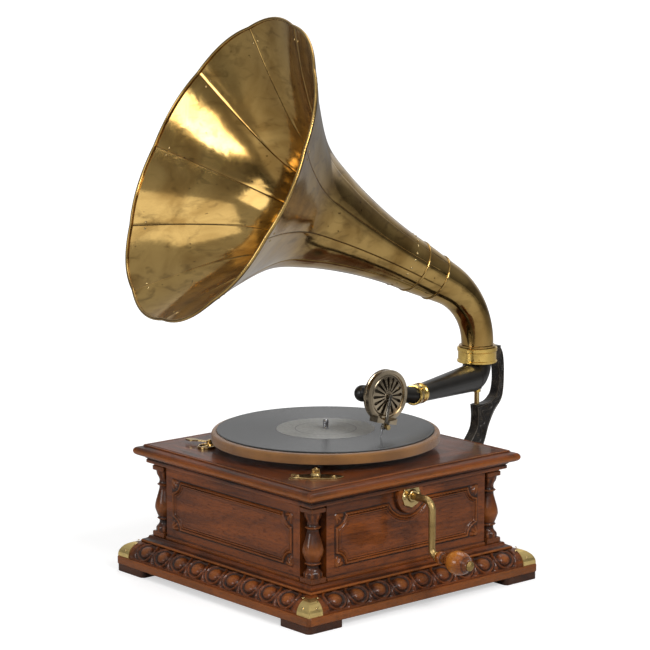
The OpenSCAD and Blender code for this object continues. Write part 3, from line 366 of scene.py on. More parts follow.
def square_ring(profile: Array, stations: int, carve: Carve, corner: float = 0.0) -> Skin:
    """A moulding mitred round the four sides of a square.

    The profile is a closed loop of (half width, height). On each side a point lies at
    u = station x (half width - corner) along it, and a rounded corner takes the loop through a
    quarter circle.

    Args:
        profile: the loop, upwards on its outer face.
        stations: how many columns each side has.
        carve: gives height over the profile and relief from u and the distance up the profile.
        corner: the radius of the square's corners in plan.

    Returns:
        The closed ring.
    """
    half, height = profile[:, :1], profile[:, 1:]
    run = np.concatenate([[0], np.cumsum(np.linalg.norm(np.diff(profile, axis=0), axis=1))])[:, None]
    tangent = np.roll(profile, -1, axis=0) - np.roll(profile, 1, axis=0)
    tangent /= np.linalg.norm(tangent, axis=1)[:, None] + 1e-9
    station = np.linspace(-1, 1, stations, endpoint=corner > 0)[None, :]
    u = (half - corner) * station
    raised, wear_and_shade = carve(u, run + 0 * u)
    out = half + raised * tangent[:, 1:]
    z = height - raised * tangent[:, :1] + 0 * u
    if corner:
        turn = np.radians(np.linspace(0, 90, 7)[1:-1])[None, :]
        u = np.concatenate([u, half - corner + corner * np.sin(turn)], axis=1)
        out = np.concatenate([out, half - corner + corner * np.cos(turn)], axis=1)
        z = np.concatenate([z, height + 0 * turn], axis=1)
        wear_and_shade = np.concatenate([wear_and_shade, 0.3 + 0 * (half + turn)], axis=1)
    sides, places = [], []
    for side in Side:
        x, y = side.turn(u, out)
        sides.append(np.stack([x, y, z], axis=-1))
        places.append(np.stack([u + SIDE_STEP * side.value, out, z], axis=-1))
    return lattice(np.concatenate(sides, axis=1), np.concatenate([wear_and_shade] * 4, axis=1),
                   np.concatenate(places, axis=1), closed_rows=True)


# Shader effects


class Wiring:
    """Adds nodes to one tree and joins them."""

    def __init__(self, tree: bpy.types.NodeTree) -> None:
        """Works on a tree."""
        self.tree = tree

    def feed(self, node: bpy.types.Node, inputs: dict[str | int, object]) -> None:
        """Feeds a node, such as a material's shader.

        Args:
            node: the node.
            inputs: a socket to join, or a value to set, for each named or numbered input.
        """
        for key, value in inputs.items():
            if isinstance(value, Socket):
                self.tree.links.new(value, node.inputs[key])
            else:
                node.inputs[key].default_value = value

    def add(self, kind: str, inputs: dict | None = None, **settings: object) -> bpy.types.Node:
        """Adds one node.

        Args:
            kind: the node's type, without its first word ShaderNode.
            inputs: what feeds its inputs.
            settings: the node's own properties.

        Returns:
            The node.
        """
        node = self.tree.nodes.new("ShaderNode" + kind)
        for name, value in settings.items():
            setattr(node, name, value)
        self.feed(node, inputs or {})
        return node

    def math(self, operation: str, a: Socket | float, b: Socket | float = 0.0, clamp: bool = False) -> Socket:
        """One step of arithmetic on two values."""
        return self.add("Math", {0: a, 1: b}, operation=operation, use_clamp=clamp).outputs[0]

    def times(self, a: Socket | float, b: Socket | float, clamp: bool = False) -> Socket:
        """Two values multiplied."""
        return self.math("MULTIPLY", a, b, clamp)

    def plus(self, a: Socket | float, b: Socket | float, clamp: bool = False) -> Socket:
        """Two values added."""
        return self.math("ADD", a, b, clamp)

    def minus(self, a: Socket | float, b: Socket | float) -> Socket:
        """The second value taken from the first."""
        return self.math("SUBTRACT", a, b)

    def noise(self, place: Socket, scale: float, detail: float = 3.0, distortion: float = 0.0) -> Socket:
        """Cloudy noise from 0 to 1 at a scale in features a metre."""
        inputs = {"Vector": place, "Scale": scale, "Detail": detail, "Distortion": distortion}
        return self.add("TexNoise", inputs).outputs["Fac"]

    def drawn(self, place: Socket, by: Stretch, detail: float = 3.0, distortion: float = 0.0) -> Socket:
        """Noise drawn out by its own number of features a metre along each axis."""
        return self.noise(self.stretch(place, by), 1.0, detail, distortion)

    def ramp(self, value: Socket, low: float, high: float) -> Socket:
        """0 where the value is low and 1 where it is high, eased between."""
        inputs = {"Value": value, "From Min": low, "From Max": high}
        return self.add("MapRange", inputs, interpolation_type="SMOOTHSTEP").outputs[0]

    def level(self, shift: Socket, low: Socket | float, high: Socket | float) -> Socket:
        """A value between two as a shift goes from 0 to 1."""
        inputs = {"Value": shift, "From Min": 0.0, "From Max": 1.0, "To Min": low, "To Max": high}
        return self.add("MapRange", inputs).outputs[0]

    def mix(self, share: Socket | float, a: Socket | Colour, b: Socket | Colour) -> Socket:
        """A colour between two colours, each a socket or three numbers."""
        a, b = (full(c) if isinstance(c, tuple) else c for c in (a, b))
        return self.add("Mix", {0: share, 6: a, 7: b}, data_type="RGBA", blend_type="MIX").outputs[2]

    def stretch(self, place: Socket, by: Stretch) -> Socket:
        """The place multiplied along each axis."""
        return self.add("VectorMath", {0: place, 1: by}, operation="MULTIPLY").outputs[0]

    def length(self, place: Socket) -> Socket:
        """How far a place is from the origin."""
        return self.add("VectorMath", {0: place}, operation="LENGTH").outputs["Value"]

    def bump(self, height: Socket, distance: float) -> Socket:
        """A normal from a height in units of distance, in metres."""
        return self.add("Bump", {"Height": height, "Distance": distance, "Strength": 1.0}).outputs[0]

    def place(self, grain: Grain = Grain.ALONG_X) -> Socket:
        """The place that a pattern reads, with X along the grain.

        Args:
            grain: which way the pattern runs.

        Returns:
            A vector in metres.
        """
        if grain is Grain.ON_PIECE:
            return self.add("Attribute", attribute_name="place").outputs["Vector"]
        found = self.add("TexCoord").outputs["Object"]
        return self.add("Mapping", {"Vector": found, "Rotation": grain.value}).outputs[0]

    def relief(self) -> Socket:
        """The piece's relief value, 0 on a piece that has none."""
        return self.add("Attribute", attribute_name="relief").outputs["Fac"]


KINDS = {"Color": "NodeSocketColor", "Vector": "NodeSocketVector", "Float": "NodeSocketFloat"}


@dataclass(frozen=True)
class Effect:
    """A shader effect that several finishes share, as a node group that is built once."""

    name: str
    takes: dict[str, str]
    gives: dict[str, str]
    wire: Callable[[Wiring, Outputs], dict[str, Socket]]

    def group(self) -> bpy.types.NodeTree:
        """The effect's node group, made at its first use.

        Returns:
            The group.
        """
        if self.name in bpy.data.node_groups:
            return bpy.data.node_groups[self.name]
        tree = bpy.data.node_groups.new(self.name, "ShaderNodeTree")
        for sockets, in_out in ((self.takes, "INPUT"), (self.gives, "OUTPUT")):
            for name, kind in sockets.items():
                tree.interface.new_socket(name, in_out=in_out, socket_type=KINDS[kind])
        start, end = tree.nodes.new("NodeGroupInput"), tree.nodes.new("NodeGroupOutput")
        w = Wiring(tree)
        w.feed(end, self.wire(w, start.outputs))
        return tree

    def use(self, w: Wiring, **inputs: object) -> Outputs:
        """Places the effect in a material.

        Args:
            w: the material's wiring.
            inputs: its inputs, by name.

        Returns:
            The group node's outputs.
        """
        node = w.tree.nodes.new("ShaderNodeGroup")
        node.node_tree = self.group()
        w.feed(node, {name: full(v) if isinstance(v, tuple) else v for name, v in inputs.items()})
        return node.outputs


# Each pattern's features a metre, along and across the grain where there are three
FIGURE: Stretch = (7.0, 30.0, 30.0)
STREAKS: Stretch = (16.0, 420.0, 420.0)
PORES: Stretch = (110.0, 2200.0, 2200.0)
STAINS: Stretch = (1.0, 1.0, 2.4)
TURNING: Stretch = (240.0, 240.0, 1500.0)
SCRATCHES: Stretch = (1400.0, 180.0, 180.0)
WORN_PATCHES, DUST_PATCHES = 160.0, 70.0
BRASS_CLOUDS, BRASS_STAINS, BRASS_SPOTS, SPOT_GROUPS, BRASS_FINE = 13.0, 38.0, 210.0, 22.0, 260.0


def wire_grain(w: Wiring, given: Outputs) -> dict[str, Socket]:
    """Mahogany: slow figure, fine streaks and short dark pores, all drawn out along the grain.

    The colour goes from Dark to Light by 0.7 of the figure and 0.3 of the streaks, and to Deep in
    the pores, which are also sunk.

    Args:
        w: the group's wiring.
        given: the group's inputs.

    Returns:
        The group's outputs by name.
    """
    place = given["Place"]
    figure = w.drawn(place, FIGURE, 3.0, 0.9)
    streak = w.drawn(place, STREAKS, 4.0, 0.2)
    pores = w.drawn(place, PORES, 2.0)
    share = w.plus(w.times(w.ramp(figure, 0.34, 0.68), 0.7), w.times(w.ramp(streak, 0.3, 0.7), 0.3))
    pore = w.times(w.ramp(pores, 0.56, 0.68), given["Pores"])
    return {
        "Color": w.mix(pore, w.mix(share, given["Dark"], given["Light"]), given["Deep"]),
        "Shift": w.minus(streak, 0.5),
        "Height": w.minus(w.times(streak, 0.3), pore),
    }


def wire_wear_and_shade(w: Wiring, given: Outputs) -> dict[str, Socket]:
    """Old polish with painted light: dark wax and painted shade in the recesses, and warmer, lighter high
    places as wear and painted highlight, broken up by noise.

    Relief below 0 and above 0, each times 0.55 to 1.35 of the noise, are the shares of the recess tone, which
    is painted shade, and of the rubbed tone, which is wear and painted highlight.

    Args:
        w: the group's wiring.
        given: the group's inputs.

    Returns:
        The group's outputs by name.
    """
    patches = w.noise(given["Place"], WORN_PATCHES, 4.0)
    broken = w.add("Math", {0: patches, 1: 0.8, 2: 0.55}, operation="MULTIPLY_ADD").outputs[0]
    low = w.times(w.times(given["Relief"], -1.0), broken, clamp=True)
    high = w.times(given["Relief"], broken, clamp=True)
    toned = w.mix(w.times(low, 0.92), given["Color"], given["Recess"])
    return {"Color": w.mix(w.times(high, 0.75), toned, given["Rubbed"]), "Low": low}


def wire_patina(w: Wiring, given: Outputs) -> dict[str, Socket]:
    """Aged brass: cloudy toning, drawn-out stains and a scatter of small dark spots.

    Age is the share of the toning, and 0.55 of it that of the stains. Spots come in groups.

    Args:
        w: the group's wiring.
        given: the group's inputs.

    Returns:
        The group's outputs by name.
    """
    place = given["Place"]
    cloud = w.ramp(w.noise(place, BRASS_CLOUDS, 5.0, 1.4), 0.34, 0.68)
    stain = w.ramp(w.noise(w.stretch(place, STAINS), BRASS_STAINS, 5.0, 0.8), 0.5, 0.74)
    fine = w.ramp(w.noise(place, BRASS_FINE, 3.0), 0.3, 0.7)
    spot = w.ramp(w.noise(place, BRASS_SPOTS, 1.0), 0.73, 0.77)
    spots = w.times(spot, w.ramp(w.noise(place, SPOT_GROUPS, 2.0), 0.44, 0.6))
    toned = w.mix(w.times(cloud, given["Age"]), given["Bright"], given["Aged"])
    stained = w.mix(w.times(stain, w.times(given["Age"], 0.55)), toned, given["Stain"])
    return {
        "Color": w.mix(spots, stained, given["Stain"]),
        "Shift": w.plus(w.times(cloud, 0.5), w.times(fine, 0.5)),
    }


def wire_dust(w: Wiring, given: Outputs) -> dict[str, Socket]:
    """A thin veil of dust: where the surface faces up, broken up by noise, times Amount.

    Args:
        w: the group's wiring.
        given: the group's inputs.

    Returns:
        The group's outputs by name.
    """
    up = w.add("SeparateXYZ", {0: w.add("NewGeometry").outputs["Normal"]}).outputs["Z"]
    settled = w.times(w.ramp(up, 0.35, 0.95), w.ramp(w.noise(given["Place"], DUST_PATCHES, 5.0), 0.35, 0.75))
    mask = w.times(settled, given["Amount"])
    return {"Color": w.mix(mask, given["Color"], given["Dust"]), "Mask": mask}


def wire_brushing(w: Wiring, given: Outputs) -> dict[str, Socket]:
    """Turning and polishing marks: 0.6 of noise drawn out round and along, and 0.4 of cross scratches.

    Args:
        w: the group's wiring.
        given: the group's inputs.

    Returns:
        The group's outputs by name.
    """
    fine, cross = (w.drawn(given["Place"], by, 2.0) for by in (TURNING, SCRATCHES))
    both = w.plus(w.times(fine, 0.6), w.times(cross, 0.4))
    return {"Value": w.ramp(both, 0.3, 0.7), "Height": both}


GRAIN = Effect("grain",
               {"Place": "Vector", "Light": "Color", "Dark": "Color", "Deep": "Color", "Pores": "Float"},
               {"Color": "Color", "Shift": "Float", "Height": "Float"}, wire_grain)
WEAR_AND_SHADE = Effect("polish_wear_and_shade",
              {"Place": "Vector", "Color": "Color", "Relief": "Float", "Recess": "Color", "Rubbed": "Color"},
              {"Color": "Color", "Low": "Float"}, wire_wear_and_shade)
PATINA = Effect("patina",
                {"Place": "Vector", "Bright": "Color", "Aged": "Color", "Stain": "Color", "Age": "Float"},
                {"Color": "Color", "Shift": "Float"}, wire_patina)
DUST = Effect("dust", {"Place": "Vector", "Color": "Color", "Dust": "Color", "Amount": "Float"},
              {"Color": "Color", "Mask": "Float"}, wire_dust)
BRUSHING = Effect("brushing", {"Place": "Vector"}, {"Value": "Float", "Height": "Float"}, wire_brushing)


# Finishes


def linear(value: int) -> float:
    """One channel from 0 to 255 as the eye sees it, made linear by the sRGB curve."""
    v = value / 255
    return v / 12.92 if v <= 0.04045 else ((v + 0.055) / 1.055) ** 2.4


def srgb(red: int, green: int, blue: int) -> Colour:
    """A colour written from 0 to 255 as the eye sees it, made linear."""
    return linear(red), linear(green), linear(blue)


def full(colour: Colour) -> tuple[float, float, float, float]:
    """A colour with its alpha of 1."""
    return (*colour, 1.0)


def started(name: str) -> tuple[bpy.types.Material, Wiring, bpy.types.Node]:
    """A new material.

    Args:
        name: the finish's name.

    Returns:
        The material, its wiring and its shader.
    """
    made = bpy.data.materials.new(name)
    made.use_nodes = True
    return made, Wiring(made.node_tree), made.node_tree.nodes["Principled BSDF"]


@dataclass(frozen=True)
class Timber:
    """Old French-polished timber."""

    name: str
    light: Colour
    dark: Colour
    deep: Colour
    rubbed: Colour
    grain: Grain = Grain.ON_PIECE
    rough: tuple[float, float] = (0.3, 0.5)
    coat: float = 0.3
    coat_rough: float = 0.1
    shine: float = 0.2
    pores: float = 0.6
    pore_depth: float = 0.00035
    wax_dullness: float = 0.35
    dust: float = 0.02
    dust_tone: Colour = srgb(150, 138, 120)

    def material(self) -> bpy.types.Material:
        """Polish over grain, painted dark in its recesses as painted shade and lighter on its high places as
        wear and painted highlight, and duller in its waxed recesses and its dust.

        Returns:
            The finish as a material.
        """
        made, w, shader = started(self.name)
        place = w.place(self.grain)
        wood = GRAIN.use(w, Place=place, Light=self.light, Dark=self.dark, Deep=self.deep, Pores=self.pores)
        # The relief paints the recesses in the deep tone as painted shade, and the high places in the rubbed
        # tone as wear and painted highlight
        wear_and_shade = WEAR_AND_SHADE.use(w, Place=place, Color=wood["Color"], Relief=w.relief(), Recess=self.deep,
                        Rubbed=self.rubbed)
        dusted = DUST.use(w, Place=place, Color=wear_and_shade["Color"], Dust=self.dust_tone, Amount=self.dust)
        dull = w.plus(w.times(wear_and_shade["Low"], self.wax_dullness), dusted["Mask"])
        w.feed(shader, {
            "Base Color": dusted["Color"],
            "Roughness": w.level(w.plus(w.plus(wood["Shift"], 0.5), dull), *self.rough),
            "Normal": w.bump(wood["Height"], self.pore_depth),
            "Specular IOR Level": self.shine,
            "Coat Weight": self.coat,
            "Coat Roughness": self.coat_rough,
        })
        return made


@dataclass(frozen=True)
class Brass:
    """Brass sheet, castings and fittings, from bright to long aged."""

    name: str
    bright: Colour
    aged: Colour
    stain: Colour
    age: float
    rough: tuple[float, float]
    lumps: float = 0.0003
    dents: float = 34.0
    mark_depth: float = 0.02

    def material(self) -> bpy.types.Material:
        """Toned brass with brushing marks and shallow dents, painted dark in its recesses as painted shade
        and bright on its high places as wear and painted highlight.

        Returns:
            The finish as a material.
        """
        made, w, shader = started(self.name)
        place = w.place()
        toned = PATINA.use(w, Place=place, Bright=self.bright, Aged=self.aged, Stain=self.stain, Age=self.age)
        # The relief paints the recesses in the stain tone as painted shade, and the high places bright as
        # wear and painted highlight
        wear_and_shade = WEAR_AND_SHADE.use(w, Place=place, Color=toned["Color"], Relief=w.relief(), Recess=self.stain,
                        Rubbed=self.bright)
        marks = BRUSHING.use(w, Place=place)
        height = w.plus(w.noise(place, self.dents, 2.0, 0.6), w.times(marks["Height"], self.mark_depth))
        shift = w.plus(w.times(toned["Shift"], 0.7), w.times(marks["Value"], 0.3))
        w.feed(shader, {
            "Base Color": wear_and_shade["Color"],
            "Roughness": w.level(shift, *self.rough),
            "Normal": w.bump(height, self.lumps),
            "Metallic": 1.0,
        })
        return made


@dataclass(frozen=True)
class Steel:
    """Plain or plated steel with turning marks."""

    name: str
    colour: Colour
    shade: Colour
    rough: tuple[float, float]
    clouds: float = 60.0
    mark_depth: float = 0.00002

    def material(self) -> bpy.types.Material:
        """Clouded steel, rougher where its clouds and marks are.

        Returns:
            The finish as a material.
        """
        made, w, shader = started(self.name)
        place = w.place()
        marks = BRUSHING.use(w, Place=place)
        cloud = w.ramp(w.noise(place, self.clouds, 5.0, 0.6), 0.3, 0.72)
        tone = w.mix(cloud, self.colour, self.shade)
        # The relief, where a piece has one, paints its recesses in the shade tone as painted shade and its
        # high places in the main tone as painted highlight
        wear_and_shade = WEAR_AND_SHADE.use(w, Place=place, Color=tone, Relief=w.relief(), Recess=self.shade, Rubbed=self.colour)
        w.feed(shader, {
            "Base Color": wear_and_shade["Color"],
            "Roughness": w.level(w.times(w.plus(marks["Value"], cloud), 0.5), *self.rough),
            "Normal": w.bump(marks["Height"], self.mark_depth),
            "Metallic": 1.0,
        })
        return made


@dataclass(frozen=True)
class Enamel:
    """Black stoving enamel on cast iron or brass, slightly uneven."""

    name: str
    colour: Colour
    rubbed: Colour
    rough: tuple[float, float]
    lumps: float
    specks: float = 0.0
    mottle: float = 90.0
    speck_size: float = 620.0
    skin: float = 420.0
    shine: float = 0.36
    dust: float = 0.12
    dust_tone: Colour = srgb(120, 114, 104)

    def material(self) -> bpy.types.Material:
        """Mottled black with pale specks where it has them, painted shade in its recesses, wear and painted
        highlight on its raised places, and a little dust.

        Returns:
            The finish as a material.
        """
        made, w, shader = started(self.name)
        place = w.place()
        mottle = w.noise(place, self.mottle, 5.0)
        speck = w.times(w.ramp(w.noise(place, self.speck_size, 2.0), 0.6, 0.7), self.specks)
        share = w.plus(w.times(w.ramp(mottle, 0.35, 0.8), 0.25), speck, clamp=True)
        tone = w.mix(share, self.colour, self.rubbed)
        # The relief paints the recesses black as painted shade, and the raised places pale as wear and
        # painted highlight
        wear_and_shade = WEAR_AND_SHADE.use(w, Place=place, Color=tone, Relief=w.relief(), Recess=self.colour, Rubbed=self.rubbed)
        dusted = DUST.use(w, Place=place, Color=wear_and_shade["Color"], Dust=self.dust_tone, Amount=self.dust)
        w.feed(shader, {
            "Base Color": dusted["Color"],
            "Roughness": w.level(mottle, *self.rough),
            "Normal": w.bump(w.noise(place, self.skin, 3.0), self.lumps),
            "Specular IOR Level": self.shine,
        })
        return made


@dataclass(frozen=True)
class Felt:
    """Pressed wool felt on the platter, rubbed pale in patches."""

    name: str = "felt_finish"
    colour: Colour = srgb(118, 78, 34)
    wear_and_shade: Colour = srgb(144, 98, 46)
    gaps: Colour = srgb(96, 62, 32)
    fibres: float = 900.0
    fine_fibres: float = 2600.0
    patches: float = 30.0
    nap: float = 0.0003

    def material(self) -> bpy.types.Material:
        """Two tones in patches, and darker gaps between matted fibres.

        Returns:
            The finish as a material.
        """
        made, w, shader = started(self.name)
        place = w.place()
        fibre = w.noise(place, self.fibres, 5.0, 1.5)
        tone = w.mix(w.ramp(w.noise(place, self.patches, 4.0), 0.3, 0.75), self.colour, self.wear_and_shade)
        w.feed(shader, {
            "Base Color": w.mix(w.times(w.ramp(fibre, 0.35, 0.7), 0.35), tone, self.gaps),
            "Normal": w.bump(w.plus(fibre, w.noise(place, self.fine_fibres, 2.0)), self.nap),
            "Roughness": 0.95,
            "Sheen Weight": 0.35,
            "Sheen Roughness": 0.5,
        })
        return made


@dataclass(frozen=True)
class Shellac:
    """The disc: grooved shellac with a plain grey label and one fine ring on it. Sizes are in metres."""

    name: str = "shellac_finish"
    disc: tuple[Colour, Colour] = (srgb(22, 23, 24), srgb(44, 45, 45))
    paper: tuple[Colour, Colour] = (srgb(136, 136, 133), srgb(154, 154, 150))
    ink: Colour = srgb(96, 97, 96)
    label_r: float = 0.0565
    ring_r: float = 0.035
    ring_w: float = 0.0005
    bands: float = 420.0
    fibres: float = 300.0
    groove_turn: float = 9000.0
    groove_depth: float = 0.00004
    rough: float = 0.16
    band_rough: float = 0.12
    label_rough: float = 0.3
    anisotropy: float = 0.85

    def material(self) -> bpy.types.Material:
        """Bands and grooves, a sine of the distance from the spindle, outside the label's radius.

        Returns:
            The finish as a material.
        """
        made, w, shader = started(self.name)
        place = w.place()
        r = w.length(w.stretch(place, (1.0, 1.0, 0.0)))
        on_label = w.math("LESS_THAN", r, self.label_r)
        on_ring = w.math("LESS_THAN", w.math("ABSOLUTE", w.minus(r, self.ring_r)), self.ring_w)
        bands = w.noise(w.add("CombineXYZ", {0: r}).outputs[0], self.bands, 4.0)
        disc = w.mix(w.ramp(bands, 0.35, 0.65), *self.disc)
        paper = w.mix(w.ramp(w.noise(place, self.fibres, 5.0), 0.3, 0.7), *self.paper)
        dull = w.plus(w.times(bands, self.band_rough), w.times(on_label, self.label_rough))
        grooves = w.times(w.math("SINE", w.times(r, self.groove_turn)), w.minus(1.0, on_label))
        w.feed(shader, {
            "Base Color": w.mix(on_label, disc, w.mix(on_ring, paper, self.ink)),
            "Roughness": w.plus(dull, self.rough),
            "Tangent": w.add("Tangent", direction_type="RADIAL", axis="Z").outputs[0],
            "Anisotropic": self.anisotropy,
            "Normal": w.bump(w.plus(w.times(grooves, 0.3), bands), self.groove_depth),
        })
        return made


@dataclass(frozen=True)
class Plain:
    """A small inner piece, such as rubber or mica: two near tones with fine mottling."""

    name: str
    colour: Colour
    other: Colour
    rough: float
    clear: float = 0.0
    mottle: float = 320.0
    lumps: float = 0.00005

    def material(self) -> bpy.types.Material:
        """The two tones, mixed and raised by the mottling.

        Returns:
            The finish as a material.
        """
        made, w, shader = started(self.name)
        mottle = w.noise(w.place(), self.mottle, 4.0)
        w.feed(shader, {
            "Base Color": w.mix(w.ramp(mottle, 0.3, 0.7), self.colour, self.other),
            "Normal": w.bump(mottle, self.lumps),
            "Roughness": self.rough,
            "Coat Weight": self.clear,
        })
        return made


# Each timber's colours: light and dark grain, deep for the pores and for the painted shade of recesses, and
# rubbed for wear and painted highlight on high places
MAHOGANY = Timber("mahogany_finish", srgb(120, 59, 19), srgb(50, 23, 8), srgb(12, 6, 3), srgb(166, 96, 36))
PANEL_WOOD = Timber("panel_finish", srgb(132, 67, 20), srgb(64, 30, 10), srgb(12, 6, 3), srgb(140, 82, 36))
COLUMN_WOOD = Timber("column_finish", srgb(98, 48, 17), srgb(42, 19, 8), srgb(10, 5, 3), srgb(156, 88, 34))
FOOT_WOOD = Timber("foot_finish", srgb(78, 42, 20), srgb(44, 21, 11), srgb(16, 8, 4), srgb(120, 68, 32),
                   Grain.ALONG_X)
POST_WOOD = Timber("post_finish", srgb(42, 20, 11), srgb(24, 11, 7), srgb(12, 6, 4), srgb(66, 34, 18),
                   Grain.ALONG_Z)
KNOB_WOOD = Timber("knob_finish", srgb(172, 98, 32), srgb(112, 56, 18), srgb(44, 20, 9), srgb(204, 130, 50),
                   Grain.ALONG_X, (0.18, 0.3), 0.45)
HORN_BRASS = Brass("horn_brass_finish", srgb(196, 162, 98), srgb(150, 116, 62), srgb(82, 58, 28), 0.85,
                   (0.09, 0.18), 0.0002)
FITTING_BRASS = Brass("pale_brass_finish", srgb(208, 182, 128), srgb(166, 138, 86), srgb(96, 76, 44), 0.6,
                      (0.16, 0.3), 0.0001)
GUARD_BRASS = Brass("guard_brass_finish", srgb(246, 218, 146), srgb(216, 182, 106), srgb(116, 92, 48), 0.6,
                    (0.26, 0.42), 0.00015)
CRANK_BRASS = Brass("crank_brass_finish", srgb(186, 158, 104), srgb(138, 110, 62), srgb(60, 44, 26), 0.7,
                    (0.4, 0.55), 0.0001)
COLLAR_BRASS = Brass("collar_brass_finish", srgb(248, 212, 122), srgb(218, 174, 88), srgb(108, 74, 30), 0.5,
                     (0.14, 0.26), 0.0001)
MOTOR_BRASS = Brass("motor_brass_finish", srgb(206, 168, 94), srgb(168, 130, 66), srgb(90, 66, 32), 0.5,
                    (0.28, 0.45))
BRONZE = Brass("bronze_finish", srgb(192, 176, 150), srgb(106, 94, 76), srgb(24, 20, 15), 0.8,
               (0.14, 0.3), 0.00008)
BRIGHT_STEEL = Steel("steel_finish", srgb(186, 186, 188), srgb(138, 138, 142), (0.2, 0.4))
DARK_STEEL = Steel("dark_steel_finish", srgb(132, 126, 116), srgb(74, 70, 64), (0.16, 0.32))
# An enamel's second colour is its pale tone: for the mottle and specks, and for wear and painted highlight on
# raised places
BLACK_ENAMEL = Enamel("black_enamel_finish", srgb(22, 20, 17), srgb(48, 44, 38), (0.24, 0.4), 0.00003)
CAST_IRON = Enamel("cast_iron_finish", srgb(18, 14, 12), srgb(120, 108, 92), (0.28, 0.46), 0.00025, 0.45)

NODE_FINISHES = {
    FOOT_WOOD: ("corner_feet", "bottom_board"),
    POST_WOOD: ("corner_posts",),
    FITTING_BRASS: ("wood_screws", "speed_knob", "brake_base", "brake_lever", "pivot_pin", "needle_screw"),
    GUARD_BRASS: ("corner_guards",),
    COLLAR_BRASS: ("horn_collar", "arm_ferrule"),
    MOTOR_BRASS: ("spring_barrel", "crown_wheel", "second_wheel", "governor_weights", "governor_bearings",
                  "regulator_arm"),
    BRIGHT_STEEL: ("motor_top_plate", "motor_bottom_plate", "motor_pillars", "motor_bolts", "mainspring",
                   "winding_arbor", "ratchet_wheel", "ratchet_click", "spindle", "governor_shaft",
                   "governor_springs", "winding_shaft", "turntable_platter", "needle"),
    DARK_STEEL: ("stylus_bar",),
    BLACK_ENAMEL: ("tonearm", "motor_spacers", "gooseneck"),
    CAST_IRON: ("back_bracket",),
    BRONZE: ("soundbox_body",),
    Shellac(): ("record",),
    Plain("rubber_finish", srgb(96, 44, 30), srgb(74, 34, 24), 0.8): ("soundbox_gaskets",),
    Plain("mica_finish", srgb(206, 200, 178), srgb(184, 176, 150), 0.25, 0.5): ("diaphragm",),
}


def dress_frame() -> None:
    """Gives every node of the frame that stays showing its finish."""
    for finish, names in NODE_FINISHES.items():
        material = finish.material()
        for name in names:
            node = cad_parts[name]
            for slot in node.material_slots:
                slot.material = material
        log.info("%s on %d nodes", finish.name, len(names))


# Cabinet

# The panels' moulding: distance inside the carved outline, height over the face, and relief, which paints its
# grooves dark as painted shade and its beads lighter as painted highlight
PANEL_SECTION = np.array([
    [-1.4, 0, 0], [-0.6, -1.1, -1], [0.3, -1.1, -1], [1.1, 1.5, 0.3], [2.1, 2.3, 0.8], [3.1, 1.5, 0.2],
    [3.9, -0.3, -1], [4.7, 1.1, 0.4], [5.5, 1.1, 0.4], [6.3, -0.9, -1], [7.1, 0.2, 0.2], [7.9, 0.1, 0],
    [8.8, -1.5, -0.5], [10.5, -1.5, 0],
])
# The columns' outline: radius, and height over their foot
COLUMN = [
    (10, 5), (9.9, 10.6), (7.2, 14.6), (6.4, 17.8), (7, 19.9), (9, 21.3), (7.8, 23), (9, 26.4), (11.2, 32.4),
    (11.5, 36), (10.6, 41.4), (8.3, 49.4), (6.45, 56.4), (6.6, 59.8), (8.7, 61.3), (6.8, 63), (6.1, 66.3),
    (6.7, 69.4), (8.6, 73.4), (9.8, 78.2),
]
# Their square blocks: half the side, heights of foot and top, and how far the edges are rounded
COLUMN_BLOCKS = ((10.7, 0.0, 5.8, 0.6), (10.3, 78.2, 83.6, 0.6), (9.0, 83.6, 86.1, 0.3))


